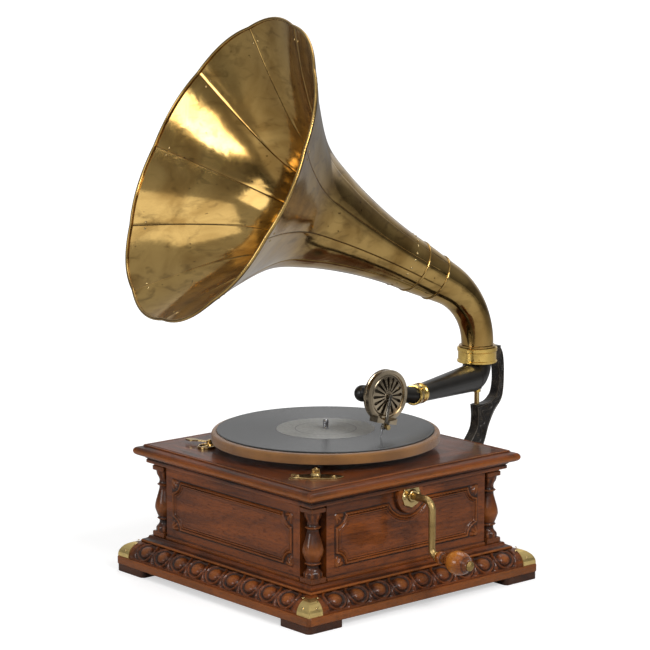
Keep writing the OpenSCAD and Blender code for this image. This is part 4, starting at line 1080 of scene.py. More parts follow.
@dataclass
class Cabinet:
    """The carved case: slab, egg-and-dart moulding, ledge, panels, columns, frieze and top."""

    # Each layer's width across the case, the inner half width of the case, and the panels' plane
    base: float = 340.5
    ledge: float = 304.2
    ledge_top: float = 291.4
    slab: float = 346.4
    frieze: float = 294.0
    board: float = 316.0
    inside: float = 129.5
    face: float = 139.5
    # Heights of each layer's foot and top
    slab_z: tuple[float, float] = (8.0, 17.6)
    base_z: tuple[float, float] = (17.6, 34.9)
    ledge_z: tuple[float, float] = (34.9, 42.6)
    panel_z: tuple[float, float] = (42.6, 128.7)
    frieze_z: tuple[float, float] = (128.7, 136.5)
    board_z: tuple[float, float] = (136.5, 150.3)
    # Slab, base moulding and top board
    slab_edge: float = 1.4
    slab_corner: float = 4.5
    slab_inside: float = 125.0
    base_foot: float = 1.4
    spindle_hole: float = 9.0
    bead_r: float = 0.9
    bead_pitch: float = 3.2
    # Egg and dart: each egg, the rim round it and the darts between, up the moulding's profile
    eggs: int = 9
    egg_pitch: float = 31.7
    egg_half: tuple[float, float] = (8.8, 9.6)
    egg_up: float = 15.2
    egg_high: float = 3.6
    rim_half: tuple[float, float] = (13.2, 14.2)
    rim_up: float = 16.5
    rim_high: float = 2.7
    dart_foot: float = 17.0
    dart_top: float = 15.5
    dart_high: float = 2.2
    carving_sunk: float = 2.4
    # Panels: the carved outline, its corners and top line, the arch, and the crank's seat and hole
    panel_w: float = 238.0
    frame_half: tuple[float, float] = (107.0, 29.5)
    leaf_r: float = 14.0
    fan_r: float = 12.6
    rope_pitch: float = 4.6
    arch_r: float = 32.0
    arch_up: float = 44.05
    crank_up: float = 77.7
    seat_r: float = 20.0
    shaft_r: float = 7.6
    # Where the bracket lies on the back panel: half its width, its foot and its top
    bracket_place: tuple[float, float, float] = (23.6, 11.4, 72.8)
    # Columns, and the corner guards' nails
    column_at: float = 132.0
    guard_thick: float = 1.2
    nail_in: float = 11.0
    nail_r: float = 1.5
    nail_h: float = 0.7

    def closed(self, outer: list[tuple[float, float]] | Array, inside: float | None = None) -> Array:
        """A moulding's loop: its outer face, then its inner wall.

        Args:
            outer: (half width, height) points from the foot to the top.
            inside: half width of the inner wall.

        Returns:
            The closed loop.
        """
        wall = self.inside if inside is None else inside
        outer = np.array(outer, float)
        return np.concatenate([outer, [[wall, outer[-1, 1]], [wall, outer[0, 1]]]])

    def egg_and_dart(self, u: Array, run: Array) -> tuple[Array, Array]:
        """The carving of the base moulding.

        Each egg is a dome, egg_high x sqrt(1 - e^2) for e the distance in an ellipse, in a
        U-shaped rim that is a hill round a larger ellipse. Darts taper up between the rims.

        Args:
            u: distance along the side.
            run: distance up the profile, 28 at its top.

        Returns:
            The height over the profile, and the relief.
        """
        end = self.egg_pitch * self.eggs / 2
        x = np.mod(u + end, self.egg_pitch) - self.egg_pitch / 2
        egg = np.hypot(x / self.egg_half[0], (run - self.egg_up) / self.egg_half[1])
        rim = np.hypot(x / self.rim_half[0], (run - self.rim_up) / self.rim_half[1])
        dart_x, spread = self.egg_pitch / 2 - np.abs(x), 1 - run / self.dart_foot
        dart = (1 - eased(dart_x, 0.4 + 2.6 * spread, 1.0 + 3.4 * spread)) * (run < self.dart_top)
        dome = self.egg_high * np.sqrt(np.clip(1 - egg ** 2, 0, 1))
        wall = self.rim_high * hill(rim, 1.0, 0.115)
        groove = hill(rim, 0.84, 0.05) + hill(rim, 1.17, 0.05)
        carved = np.maximum(np.maximum(dome, wall), self.dart_high * dart * np.exp(-0.25 * dart_x))
        height = carved - self.carving_sunk
        # The relief paints the eggs, rims and darts lighter as painted highlight and wear, and the grooves by
        # the rims and the ground between darker as painted shade
        proud = np.maximum(np.maximum(dome / self.egg_high, 0.75 * wall / self.rim_high), 0.55 * dart)
        relief = np.clip(1.25 * proud - 0.75 - 0.4 * groove, -1, 1)
        edge = eased(end + 3.0 - np.abs(u), 0, 3.0) * eased(run, 0.8, 2.6) * (run < 28.6)
        fade = 1 - eased(run, 25.5, 28)
        return height * edge * (0.35 + 0.65 * fade), relief * edge + (1 - edge) * 0.1

    def slab_ring(self) -> Skin:
        """The square slab with rounded edges, painted lighter along them as wear and painted highlight.

        Returns:
            The closed ring.
        """
        half, low, high, edge = self.slab / 2, *self.slab_z, self.slab_edge
        t = np.radians(np.linspace(-90, 0, 4))
        foot = np.stack([half - edge + edge * np.cos(t), low + edge + edge * np.sin(t)], axis=1)
        top = np.stack([foot[::-1, 0], low + high - foot[::-1, 1]], axis=1)
        wear_and_shade = wear_and_shade_only(lambda run: 0.5 * (hill(run, 2.0, 1.2) + hill(run, 9.4, 1.2)))
        loop = self.closed(np.concatenate([foot, top]), self.slab_inside)
        return square_ring(loop, stations=40, carve=wear_and_shade, corner=self.slab_corner)

    def base_ring(self) -> Skin:
        """The base moulding: a quarter ellipse with the carving on it.

        Returns:
            The closed ring.
        """
        t = np.radians(np.linspace(0, 90, 36))
        low, high = self.base_z
        curve = np.stack([self.ledge / 2 + (self.base - self.ledge) / 2 * np.cos(t),
                          low + self.base_foot + (high - low - self.base_foot) * np.sin(t)], axis=1)
        foot = [[self.base / 2, low], [self.base / 2, low + self.base_foot / 2]]
        return square_ring(self.closed(np.concatenate([foot, curve])), stations=380, carve=self.egg_and_dart)

    def ledge_ring(self) -> Skin:
        """The ledge: a hollow under a rounded edge, as a smooth profile, painted lighter on its rounded edge
        as painted highlight and darker in the hollow as painted shade.

        Returns:
            The closed ring.
        """
        low, high, z = self.ledge / 2, self.ledge_top / 2, self.ledge_z[0]
        outline = smoothed([
            (low - 0.6, z), (low, z + 0.7), (low, z + 2.0), (low - 1.0, z + 3.2), (low - 3.4, z + 4.0),
            (high + 0.8, z + 5.2), (high, z + 6.2), (high, z + 7.0), (high - 0.8, z + 7.7),
        ], 3)
        wear_and_shade = wear_and_shade_only(lambda run: 0.7 * hill(run, 2.4, 1.2) - 0.8 * hill(run, 5.6, 1.6))
        return square_ring(self.closed(outline), stations=12, carve=wear_and_shade)

    def frieze_ring(self) -> Skin:
        """The frieze under the top board, with a fine step, painted darker in the step as painted shade and a
        little lighter at its lower edge as painted highlight.

        Returns:
            The closed ring.
        """
        half, z = self.frieze / 2, self.frieze_z[0]
        outline = [
            (half - 1.4, z), (half - 0.3, z + 0.5), (half, z + 1.2), (half, z + 4.2), (half - 0.8, z + 4.6),
            (half - 0.8, z + 5.2), (half + 0.4, z + 5.8), (half + 1.4, z + 6.8), (half + 1.6, z + 7.8),
        ]
        wear_and_shade = wear_and_shade_only(lambda run: 0.4 * hill(run, 1.4, 0.8) - 0.9 * hill(run, 6.0, 1.0))
        return square_ring(self.closed(outline), stations=12, carve=wear_and_shade)

    def board_ring(self) -> Skin:
        """The top board: a rounded nose, a fine sunk line and the flat top.

        Returns:
            The closed ring.
        """
        half, z, top = self.board / 2, *self.board_z
        t = np.radians(np.linspace(-65, 65, 15))
        nose = np.stack([half - 5 + 5 * np.cos(t), z + 6.2 + 5 * np.sin(t)], axis=1)
        steps = [
            [half - 7.6, z + 11.9], [half - 8.4, z + 12.0], [half - 8.8, z + 12.8], [half - 9.8, z + 13.6],
            [half - 10.6, top], [half - 11.4, top - 0.1], [half - 11.8, top - 0.7], [half - 12.6, top - 0.7],
            [half - 13, top], [90, top], [30, top],
        ]
        outline = np.concatenate([[[half - 8.5, z], [half - 4.2, z + 1.0]], nose, steps])
        loop = self.closed(outline, self.spindle_hole)
        return square_ring(loop, stations=16, carve=wear_and_shade_only(self.board_wear_and_shade))

    def board_wear_and_shade(self, run: Array) -> Array:
        """Where the top board is painted lighter on its nose as wear and painted highlight, and darker on its
        underside, at its steps and at its sunk line as painted shade, by the distance up its profile.
        """
        line = -1.1 * hill(run, 18.6, 0.9) - 0.9 * hill(run, 24.0, 0.8)
        return 0.75 * hill(run, 10.0, 3.4) + line - 0.5 * hill(run, 2.5, 2.5)

    def top_beading(self) -> Skin:
        """The fine twisted bead in the top board's step: its height waves along the side.

        Returns:
            The closed ring.
        """
        half, top = self.board / 2 - 9.6, self.board_z[1] - 0.9
        t = np.radians(np.linspace(0, 180, 6))
        loop = np.stack([half + self.bead_r * np.cos(t), top + np.sin(t)], axis=1)
        return square_ring(self.closed(loop, half - self.bead_r), stations=300, carve=self.twist)

    def twist(self, u: Array, run: Array) -> tuple[Array, Array]:
        """A twisted bead: 0.22 times the cosine of the place along it and up it, with its crests painted
        lighter as painted highlight and the twists between darker as painted shade.
        """
        wave = np.cos(2 * np.pi * (u + 0.8 * run) / self.bead_pitch) * (run < 2.7)
        return 0.22 * wave, 0.3 + 0.5 * wave

    def corner_fan(self, to_x: Array, to_y: Array) -> tuple[Array, Array]:
        """The carving in a panel's corner: a fan of leaf lobes and the boss that they spring from.

        A lobe is |cos 6a| for the angle a from the corner's diagonal, and the fan swells as the
        sine of the distance over its edge.

        Args:
            to_x: distance inside the outline's upright side.
            to_y: distance inside its top or foot.

        Returns:
            The fan and the boss, each from 0 to 1.
        """
        corner = np.hypot(to_x, to_y)
        turn = np.degrees(np.arctan2(to_y, to_x)) - 45
        lobe = np.abs(np.cos(np.radians(turn) * 6))
        edge = self.fan_r * (0.84 + 0.16 * lobe)
        near = (corner < edge) * (to_x > -0.5) * (to_y > -0.5)
        fan = near * np.sin(np.pi * np.clip(corner / edge, 0, 1)) ** 0.6 * (0.35 + 0.65 * lobe)
        return fan, eased(3.4 - np.hypot(to_x - 2.5, to_y - 2.5), 0, 1.2)

    def crank_seat(self, away: Array, height: Array, relief: Array) -> tuple[Array, Array]:
        """Puts the crank's raised round seat and the hole for its shaft into a panel's carving.

        Args:
            away: distance from the crank's middle.
            height: the carving's height over the face.
            relief: its relief.

        Returns:
            The height and the relief with the seat.
        """
        seat = eased(self.seat_r - away, -0.4, 0.4)
        height = np.where(away < self.seat_r + 1, 5.0 * seat, height) * (away > self.shaft_r)
        # A dark ring round the seat's foot is painted shade, and the seat a little lighter as painted
        # highlight
        wear_and_shade = np.where(away < self.seat_r + 3, 0.3 * seat - 0.9 * hill(away, self.seat_r + 1, 1.0), relief)
        return height - 9.5 * (away <= self.shaft_r), wear_and_shade

    def panel_relief(self, u: Array, v: Array, side: Side) -> tuple[Array, Array]:
        """A panel's carving.

        The height is a moulding's section read at the distance inside the carved outline: a
        rectangle less four corner circles, and less the arch on the crank's side. Fans fill the
        corners, and the top line is twisted.

        Args:
            u: distance along the panel.
            v: height over its foot.
            side: which side it is on.

        Returns:
            The height over the face, and the relief.
        """
        x, y = np.abs(u), v - (self.panel_z[1] - self.panel_z[0]) / 2
        to_x, to_y = self.frame_half[0] - x, self.frame_half[1] - np.abs(y)
        corner = np.hypot(to_x, to_y)
        inside = np.minimum(np.minimum(to_x, to_y), corner - self.leaf_r)
        if side is Side.RIGHT:
            inside = np.minimum(inside, np.hypot(u, y - self.arch_up) - self.arch_r)
        height = np.interp(inside, PANEL_SECTION[:, 0], PANEL_SECTION[:, 1])
        # The relief paints the section's grooves as painted shade and its beads as painted highlight
        relief = np.interp(inside, PANEL_SECTION[:, 0], PANEL_SECTION[:, 2])
        rope = hill(inside, 2.1, 1.0) * (y > 0) * (np.abs(inside - to_y) < 1e-6)
        wave = np.cos(2 * np.pi * (u + 1.2 * y) / self.rope_pitch)
        # The twisted top line's crests are painted lighter and its hollows darker as painted highlight and
        # shade
        height, relief = height + 0.55 * rope * wave, relief + 0.7 * rope * wave
        fan, boss = self.corner_fan(to_x, to_y)
        in_corner = (corner < self.leaf_r - 0.6) & (to_x > -1) & (to_y > -1)
        height = np.where(in_corner, np.maximum(2.4 * fan, 1.8 * boss) - 0.5, height)
        # The fans' lobes and boss are painted lighter as painted highlight, and the ground between them
        # darker as painted shade
        relief = np.where(in_corner, np.clip(1.5 * np.maximum(fan, boss) - 0.8, -1, 1), relief)
        foot = 1.6 * (1 - eased(v, 2.2, 3.4))
        # A line above the foot is painted dark as painted shade, and the foot lighter as painted highlight
        height, relief = np.maximum(height, foot), relief - 0.8 * hill(v, 4.0, 0.9) + 0.3 * (v < 2.6)
        if side is Side.RIGHT:
            height, relief = self.crank_seat(np.hypot(u, v - self.crank_up), height, relief)
        if side is Side.BACK:
            half, low, high = self.bracket_place
            bare = (x < half) & (v > low) & (v < high)
            height, relief = np.where(bare, 0.0, height), np.where(bare, 0.0, relief)
        return height, relief

    def panel(self, side: Side) -> Skin:
        """One carved panel: out = face + height over a grid, closed by a plain back.

        Args:
            side: the side that it is on.

        Returns:
            The closed board.
        """
        width, rise = self.panel_w / 2, self.panel_z[1] - self.panel_z[0]
        u, v = np.meshgrid(np.linspace(-width, width, 310), np.linspace(0, rise, 114))
        height, relief = self.panel_relief(u, v, side)
        ends = np.array([[width, -width]])
        along = np.concatenate([u, np.repeat(ends, len(u), axis=0)], axis=1)
        out = np.concatenate([self.face + height, np.full((len(u), 2), self.inside)], axis=1)
        x, y = side.turn(along, out)
        z = self.panel_z[0] + np.concatenate([v, v[:, :2]], axis=1)
        wear_and_shade = np.concatenate([relief, np.zeros((len(u), 2))], axis=1)
        timber = np.stack([along + PANEL_STEP * side.value, out, z], axis=-1)
        return lattice(np.stack([x, y, z], axis=-1), wear_and_shade, timber)

    def columns(self) -> Skin:
        """The four turned columns, fluted at the cup and the capital, on their blocks.

        Returns:
            The columns and their blocks.
        """
        outline = smoothed(COLUMN, 5)
        h, foot = outline[:, 1], self.panel_z[0]
        depth = 0.55 * hill(h, 9.0, 3.6) + 0.5 * hill(h, 73.0, 4.2)
        # The relief paints the bulges and beads lighter as painted highlight, and the necks and hollows
        # darker as painted shade
        relief = (0.7 * hill(h, 35, 9) + 0.7 * hill(h, 61.3, 1.2) + 0.6 * hill(h, 21.3, 1.0)
                  - 0.9 * hill(h, 23.0, 1.0) - 0.9 * hill(h, 17.8, 2.0) - 0.8 * hill(h, 64, 1.8)
                  - 0.6 * hill(h, 58.3, 1.2))
        made = []
        for x in (-self.column_at, self.column_at):
            for y in (-self.column_at, self.column_at):
                made.append(revolved(outline, (x, y, foot), around=64, flutes=(8, depth), relief=relief))
                made += [block((x, y), half, foot + low, foot + high, ease)
                         for half, low, high, ease in COLUMN_BLOCKS]
        return Skin.joined(made)

    def guard_nails(self) -> Skin:
        """Two brass nails on each side of each corner guard, square to the moulding's curve.

        Returns:
            All the nail heads.
        """
        t = np.radians([24.0, 64.0])
        foot, rise, over = self.base_z[0] + self.base_foot, self.base_z[1] - self.base_z[0], self.guard_thick
        a, b = (self.base - self.ledge) / 2 + over, rise - self.base_foot + over
        out, z = self.ledge / 2 + a * np.cos(t), foot + b * np.sin(t)
        lean = np.stack([np.cos(t) / a, np.sin(t) / b], axis=1)
        centres, normals = [], []
        for side in Side:
            for end in (-1, 1):
                x, y = side.turn(end * (out - self.nail_in), out)
                nx, ny = side.turn(0 * t, lean[:, 0])
                centres.append(np.stack([x, y, z], axis=1))
                normals.append(np.stack([nx, ny, lean[:, 1]], axis=1))
        return domes(np.concatenate(centres), np.concatenate(normals), self.nail_r, self.nail_h)

    def build(self) -> None:
        """Makes every piece of the case."""
        wood, panels, brass = MAHOGANY.material(), PANEL_WOOD.material(), FITTING_BRASS.material()
        for name, skin, node in (
            ("slab", self.slab_ring(), "base_slab"),
            ("egg_moulding", self.base_ring(), "base_moulding"),
            ("ledge", self.ledge_ring(), "ledge_moulding"),
            ("frieze", self.frieze_ring(), "frieze_frame"),
            ("top", self.board_ring(), "top_board"),
        ):
            skin.piece(name, "cabinet", wood, "mahogany", (node,))
        turned = COLUMN_WOOD.material()
        self.columns().piece("turned_columns", "cabinet", turned, "mahogany", ("corner_columns",))
        for side in Side:
            name = side.name.lower()
            self.panel(side).piece(f"carved_panel_{name}", "cabinet", panels, "mahogany", (f"{name}_panel",))
        self.top_beading().piece("top_beading", "cabinet", wood, "mahogany")
        self.guard_nails().piece("guard_nails", "cabinet", brass, "pale_brass")


# Horn

# The bell's radius along the middle line, up to the mouth's own
BELL_RADII = [
    [0, 19.2], [40, 20.2], [80, 23.4], [130, 29.3], [181, 34.8], [233, 45], [285, 60.6], [337, 84.2],
    [388.5, 132.4],
]
# The elbow's spigot and its ring: radius and height, as a loop
SPIGOT = np.array([
    [17.7, 230.8], [19.35, 230.8], [19.35, 239.85], [21.6, 239.85], [22.2, 240.4], [22.2, 241.5],
    [21.6, 242.0], [19.2, 242.0], [18.2, 241.0],
])


@dataclass
class Horn:
    """The petal horn: a straight stub, an elbow, and a bell of lapped petals with a wired rim."""

    # The middle line: its start, heading in degrees, elbow, length of the bell, and rise in degrees
    pivot_y: float = 241.0
    start_z: float = 239.5
    yaw: float = 12.35
    stub: float = 3.5
    bend: float = 87.7
    length: float = 334.0
    lift: float = 28.5
    mouth_lift: float = 25.3
    # The petals and the wired rim, and where the bell meets the elbow and carries its second band
    mouth_r: float = 183.0
    petals: int = 11
    rise: float = 0.009
    seam_turn: float = 3.5
    sheet: float = 1.2
    wire: float = 4.4
    rim_steps: int = 1600
    joint: float = 113.6
    second_band: float = 147.1
    band_half: float = 1.7
    # The laps: places across a seam, and height and relief on the petal above and the one below; the relief
    # paints the seam lines and the foot of each lap dark as painted shade
    lap_at: tuple[float, ...] = (0.0, 0.35, 0.8, 1.6, 4.4, 7.0)
    lap_over: tuple[float, ...] = (-0.55, -0.45, 0.2, 0.32, 0.28, 0.0)
    lap_over_shade: tuple[float, ...] = (-1.0, -0.8, 0.1, 0.0, 0.0, 0.0)
    lap_under: tuple[float, ...] = (0.0, 0.0, 0.0, 0.0, -0.45)
    lap_under_shade: tuple[float, ...] = (0.0, 0.0, 0.0, -0.2, -0.8)
    # Rivets: place along the middle line and half the gap of a pair, then their size
    rim_rivets: tuple[float, float] = (421.0, 4.6)
    neck_rivets: tuple[float, float] = (168.0, 4.4)
    rivet_r: float = 1.5
    rivet_h: float = 0.8

    def __post_init__(self) -> None:
        """Works out the middle line's length and directions."""
        self.elbow_end = self.stub + self.bend * math.radians(90 - self.lift)
        self.total = self.elbow_end + self.length
        a = math.radians(self.yaw)
        self.ahead = np.array([-math.sin(a), -math.cos(a), 0])
        self.aside = np.array([-math.cos(a), math.sin(a), 0])
        self.up = np.array([0, 0, 1.0])
        self.radii = np.array([*BELL_RADII, [self.total, self.mouth_r]])

    def lift_at(self, s: Array) -> Array:
        """The middle line's rise in degrees: 90, falling evenly round the elbow, then easing off.

        Args:
            s: distance along the middle line.

        Returns:
            The rise at each.
        """
        elbow = 90 - np.degrees((s - self.stub) / self.bend)
        bell = self.lift + (self.mouth_lift - self.lift) * (s - self.elbow_end) / self.length
        return np.where(s < self.stub, 90.0, np.where(s < self.elbow_end, elbow, bell))

    def middle(self, s: Array) -> Array:
        """The middle line's points, from the arc and chord of each stretch.

        Args:
            s: distance along the middle line.

        Returns:
            The points.
        """
        turned = np.radians(90 - self.lift_at(np.minimum(s, self.elbow_end)))
        past = np.maximum(s - self.elbow_end, 0)
        mean = np.radians((self.lift + self.lift_at(np.maximum(s, self.elbow_end))) / 2)
        flat = self.bend * (1 - np.cos(turned)) + past * np.cos(mean)
        high = np.minimum(s, self.stub) + self.bend * np.sin(turned) + past * np.sin(mean)
        start = np.array([0, self.pivot_y, self.start_z])
        return start + flat[..., None] * self.ahead + high[..., None] * self.up

    def upward(self, s: Array) -> Array:
        """The direction square to the middle line, in its upright plane.

        Args:
            s: distance along the middle line.

        Returns:
            The direction at each.
        """
        a = np.radians(self.lift_at(s))[..., None]
        return np.cos(a) * self.up - np.sin(a) * self.ahead

    def plain_radius(self, s: Array) -> Array:
        """The radius along the line: a cubic in each span with its neighbours' slopes.

        Args:
            s: distance along the middle line.

        Returns:
            The radius at each.
        """
        x, y = self.radii.T
        n = len(x)
        low, high = np.maximum(np.arange(n) - 1, 0), np.minimum(np.arange(n) + 1, n - 1)
        slope = (y[high] - y[low]) / (x[high] - x[low])
        i = np.clip(np.searchsorted(x, s, side="right") - 1, 0, n - 2)
        h = x[i + 1] - x[i]
        t, a, b, m, k = (s - x[i]) / h, y[i], y[i + 1], slope[i] * h, slope[i + 1] * h
        return a + m * t + (3 * (b - a) - 2 * m - k) * t ** 2 + (m + k - 2 * (b - a)) * t ** 3

    def surface(self, s: Array, angle: Array, off: Array | float = 0.0) -> Array:
        """Points of the horn's skin.

        The radius is the plain one times 1 + rise x share x (2 |sin| - 1), which makes a petal
        between each two seams.

        Args:
            s: distance along the middle line.
            angle: turn from the seams' zero, in degrees.
            off: distance outside the skin.

        Returns:
            The points.
        """
        share = np.maximum(0, s - self.joint) / (self.total - self.joint)
        petal = 2 * np.abs(np.sin(np.radians(angle * self.petals / 2))) - 1
        r = (self.plain_radius(s) * (1 + self.rise * share * petal) + off)[..., None]
        a = np.radians(angle + self.seam_turn)[..., None]
        return self.middle(s) + r * (np.cos(a) * self.aside + np.sin(a) * self.upward(s))

    def bell(self) -> Skin:
        """The bell: petals that lap over their neighbours, with a fine groove at each seam.

        Returns:
            The bell, as a sheet with two faces.
        """
        neck = np.linspace(self.joint, 300, 44, endpoint=False)
        s = np.concatenate([neck, np.linspace(300, self.total, 62)])
        span = 360 / self.petals
        near = np.degrees(np.array(self.lap_at)[None, :] / self.plain_radius(s)[:, None])
        middle = np.linspace(0, 1, 18)[None, 1:-1]
        inner = near[:, -1:] + (span - 2 * near[:, -1:]) * middle
        petal = np.concatenate([near, inner, span - near[:, :0:-1]], axis=1)
        plain = np.zeros(inner.shape[1])
        over = np.concatenate([self.lap_over, plain, self.lap_under])
        wear_and_shade = np.concatenate([self.lap_over_shade, plain, self.lap_under_shade])
        angle = np.concatenate([petal + span * k for k in range(self.petals)], axis=1)
        lap, relief = np.tile(over, self.petals)[None, :], np.tile(wear_and_shade, self.petals)[None, :]
        taper = eased(s, self.joint + 4, self.joint + 30)[:, None]
        rows = s[:, None] + 0 * angle
        outer = self.surface(rows, angle, lap * taper)
        inside = self.surface(rows, angle, lap * taper - self.sheet)
        both = np.concatenate([outer, inside[::-1]])
        return lattice(both, np.broadcast_to(relief, (len(both), angle.shape[1])), closed_rows=True)

    def rivets(self) -> Skin:
        """A pair of rivets at each seam near the rim, inside and out, and a pair near the neck.

        Returns:
            All the rivet heads.
        """
        seams = 360 / self.petals * np.arange(self.petals)[:, None, None]
        found, faces = [], []
        rows = (self.rim_rivets, 0.0), (self.rim_rivets, -self.sheet), (self.neck_rivets, 0.2)
        for (s, apart), off in rows:
            turn = np.degrees(apart / self.plain_radius(np.array(s)))
            angle = (seams + np.array([-turn, turn])[None, :, None]).ravel()
            here = np.full(angle.shape, s)
            point = self.surface(here, angle, off)
            run = self.surface(here + 1, angle, off) - self.surface(here - 1, angle, off)
            around = self.surface(here, angle + 0.3, off) - self.surface(here, angle - 0.3, off)
            normal = np.cross(run, around)
            normal *= np.sign((normal * (point - self.middle(here))).sum(axis=1))[:, None]
            found.append(point)
            faces.append(normal if off >= 0 else -normal)
        return domes(np.concatenate(found), np.concatenate(faces), self.rivet_r, self.rivet_h)

    def elbow(self) -> Skin:
        """The elbow, its spigot in the collar and the ring that rests on it.

        Returns:
            The elbow and the spigot with its ring.
        """
        s = np.linspace(0, self.joint + 1.0, 64)
        angle = circle(96, 360)[None, :]
        rows = s[:, None] + 0 * angle
        both = np.concatenate([self.surface(rows, angle), self.surface(rows, angle, -self.sheet)[::-1]])
        a, r, z = circle(96)[None, :], SPIGOT[:, :1], SPIGOT[:, 1:]
        ring = np.stack([r * np.cos(a), self.pivot_y + r * np.sin(a), z + 0 * a], axis=-1)
        return Skin.joined([lattice(both, 0.0, closed_rows=True), lattice(ring, 0.2, closed_rows=True)])

    def band(self, s: float) -> Skin:
        """A low bead round the bell: the skin plus a half-round, closed by its inner face.

        Args:
            s: its place along the middle line.

        Returns:
            The closed ring.
        """
        t = np.linspace(0, np.pi, 9)[:, None]
        angle = circle(120, 360)[None, :]
        place = s - self.band_half * np.cos(t) + 0 * angle
        outer = self.surface(place, angle, 0.15 + 1.15 * np.sin(t) + 0 * angle)
        inner = self.surface(place[::-1], angle, -0.2 + 0 * angle)
        # The bead's top is painted lighter as painted highlight and its feet darker as painted shade
        relief = np.concatenate([0.9 * np.sin(t) - 0.6, 0 * t])
        return lattice(np.concatenate([outer, inner]), relief + 0 * angle, closed_rows=True)

    def rim(self) -> Skin:
        """The wired rim: a tube along the mouth whose radius waves finely, as a twisted wire's does.

        Returns:
            The closed tube.
        """
        s = np.full(self.rim_steps, self.total)
        angle = circle(self.rim_steps, 360)
        end = self.surface(s, angle, -self.sheet / 2 - 0.3)
        out = end - self.middle(s)
        out /= np.linalg.norm(out, axis=1)[:, None]
        lift = math.radians(self.mouth_lift)
        forward = math.cos(lift) * self.ahead + math.sin(lift) * self.up
        a = circle(12)[None, :]
        wave = np.cos(2 * np.pi * np.arange(len(s)) / 4.0)[:, None] * np.maximum(np.cos(a - 0.9), 0)
        r = (self.wire / 2 - 0.3 + 0.08 * wave)[..., None]
        ahead = self.wire / 2 - 0.25
        ring = np.cos(a)[..., None] * out[:, None, :] + np.sin(a)[..., None] * forward
        # The wire's ripples are painted lighter on their crests as painted highlight
        return lattice(end[:, None, :] + forward * ahead + r * ring, 0.1 + 0.3 * wave, closed_rows=True)

    def build(self) -> None:
        """Makes every piece of the horn."""
        brass = HORN_BRASS.material()
        self.bell().piece("petal_bell", "horn", brass, "horn_brass", ("horn_bell",), 25.0)
        self.elbow().piece("smooth_elbow", "horn", brass, "horn_brass", ("horn_elbow",))
        bands = Skin.joined([self.band(self.joint + 0.5), self.band(self.second_band), self.rim()])
        bands.piece("bands_and_rim", "horn", brass, "pale_brass", ("horn_bands",), 50.0)
        self.rivets().piece("horn_rivets", "horn", FITTING_BRASS.material(), "pale_brass")


# Turntable, fittings and bracket


@dataclass
class Turntable:
    """The felt-covered platter."""

    r: float = 131.2
    low: float = 159.7
    top: float = 170.9
    under: float = 169.9
    wall_r: float = 130.2
    hole_r: float = 4.0
    fuzz: float = 0.06

    def felt(self) -> Skin:
        """The felt: a thin disc turned down over the platter's rim, uneven there by a sum of three sines.

        Returns:
            The closed sheet.
        """
        t = np.radians(np.linspace(90, 0, 8))
        over = np.stack([self.r - 3 + 3 * np.cos(t), self.top - 3 + 3 * np.sin(t)], axis=1)
        rim = np.stack([np.full(6, self.r), np.linspace(self.top - 4.5, self.low + 0.5, 6)], axis=1)
        back = t[::-1]
        inner = np.stack([self.wall_r - 2 + 2 * np.cos(back), self.under - 2 + 2 * np.sin(back)], axis=1)
        flat = [[self.hole_r, self.top], [40, self.top], [90, self.top]]
        hem = [[self.r - 0.5, self.low], [self.wall_r, self.low + 0.1]]
        loop = np.concatenate([flat, over, rim, hem, inner, [[self.hole_r, self.under]]])
        a = circle(360)[None, :]
        r, z = loop[:, :1], loop[:, 1:] + 0 * a
        on_rim = ((loop[:, :1] > self.r - 1.2) & (loop[:, 1:] > self.low + 0.2)).astype(float)
        waves = np.sin(37 * a + 2 * z) + np.sin(83 * a - 1.3 * z) + np.sin(151 * a + 3.1 * z)
        out = r + self.fuzz * on_rim * (waves - 3)
        return lattice(np.stack([out * np.cos(a), out * np.sin(a), z], axis=-1), closed_rows=True)

    def build(self) -> None:
        """Makes the felt, which is a sheet of cloth glued over the platter."""
        made = self.felt().piece("felt_cover", "turntable", Felt().material(), "felt", ("platter_felt",))


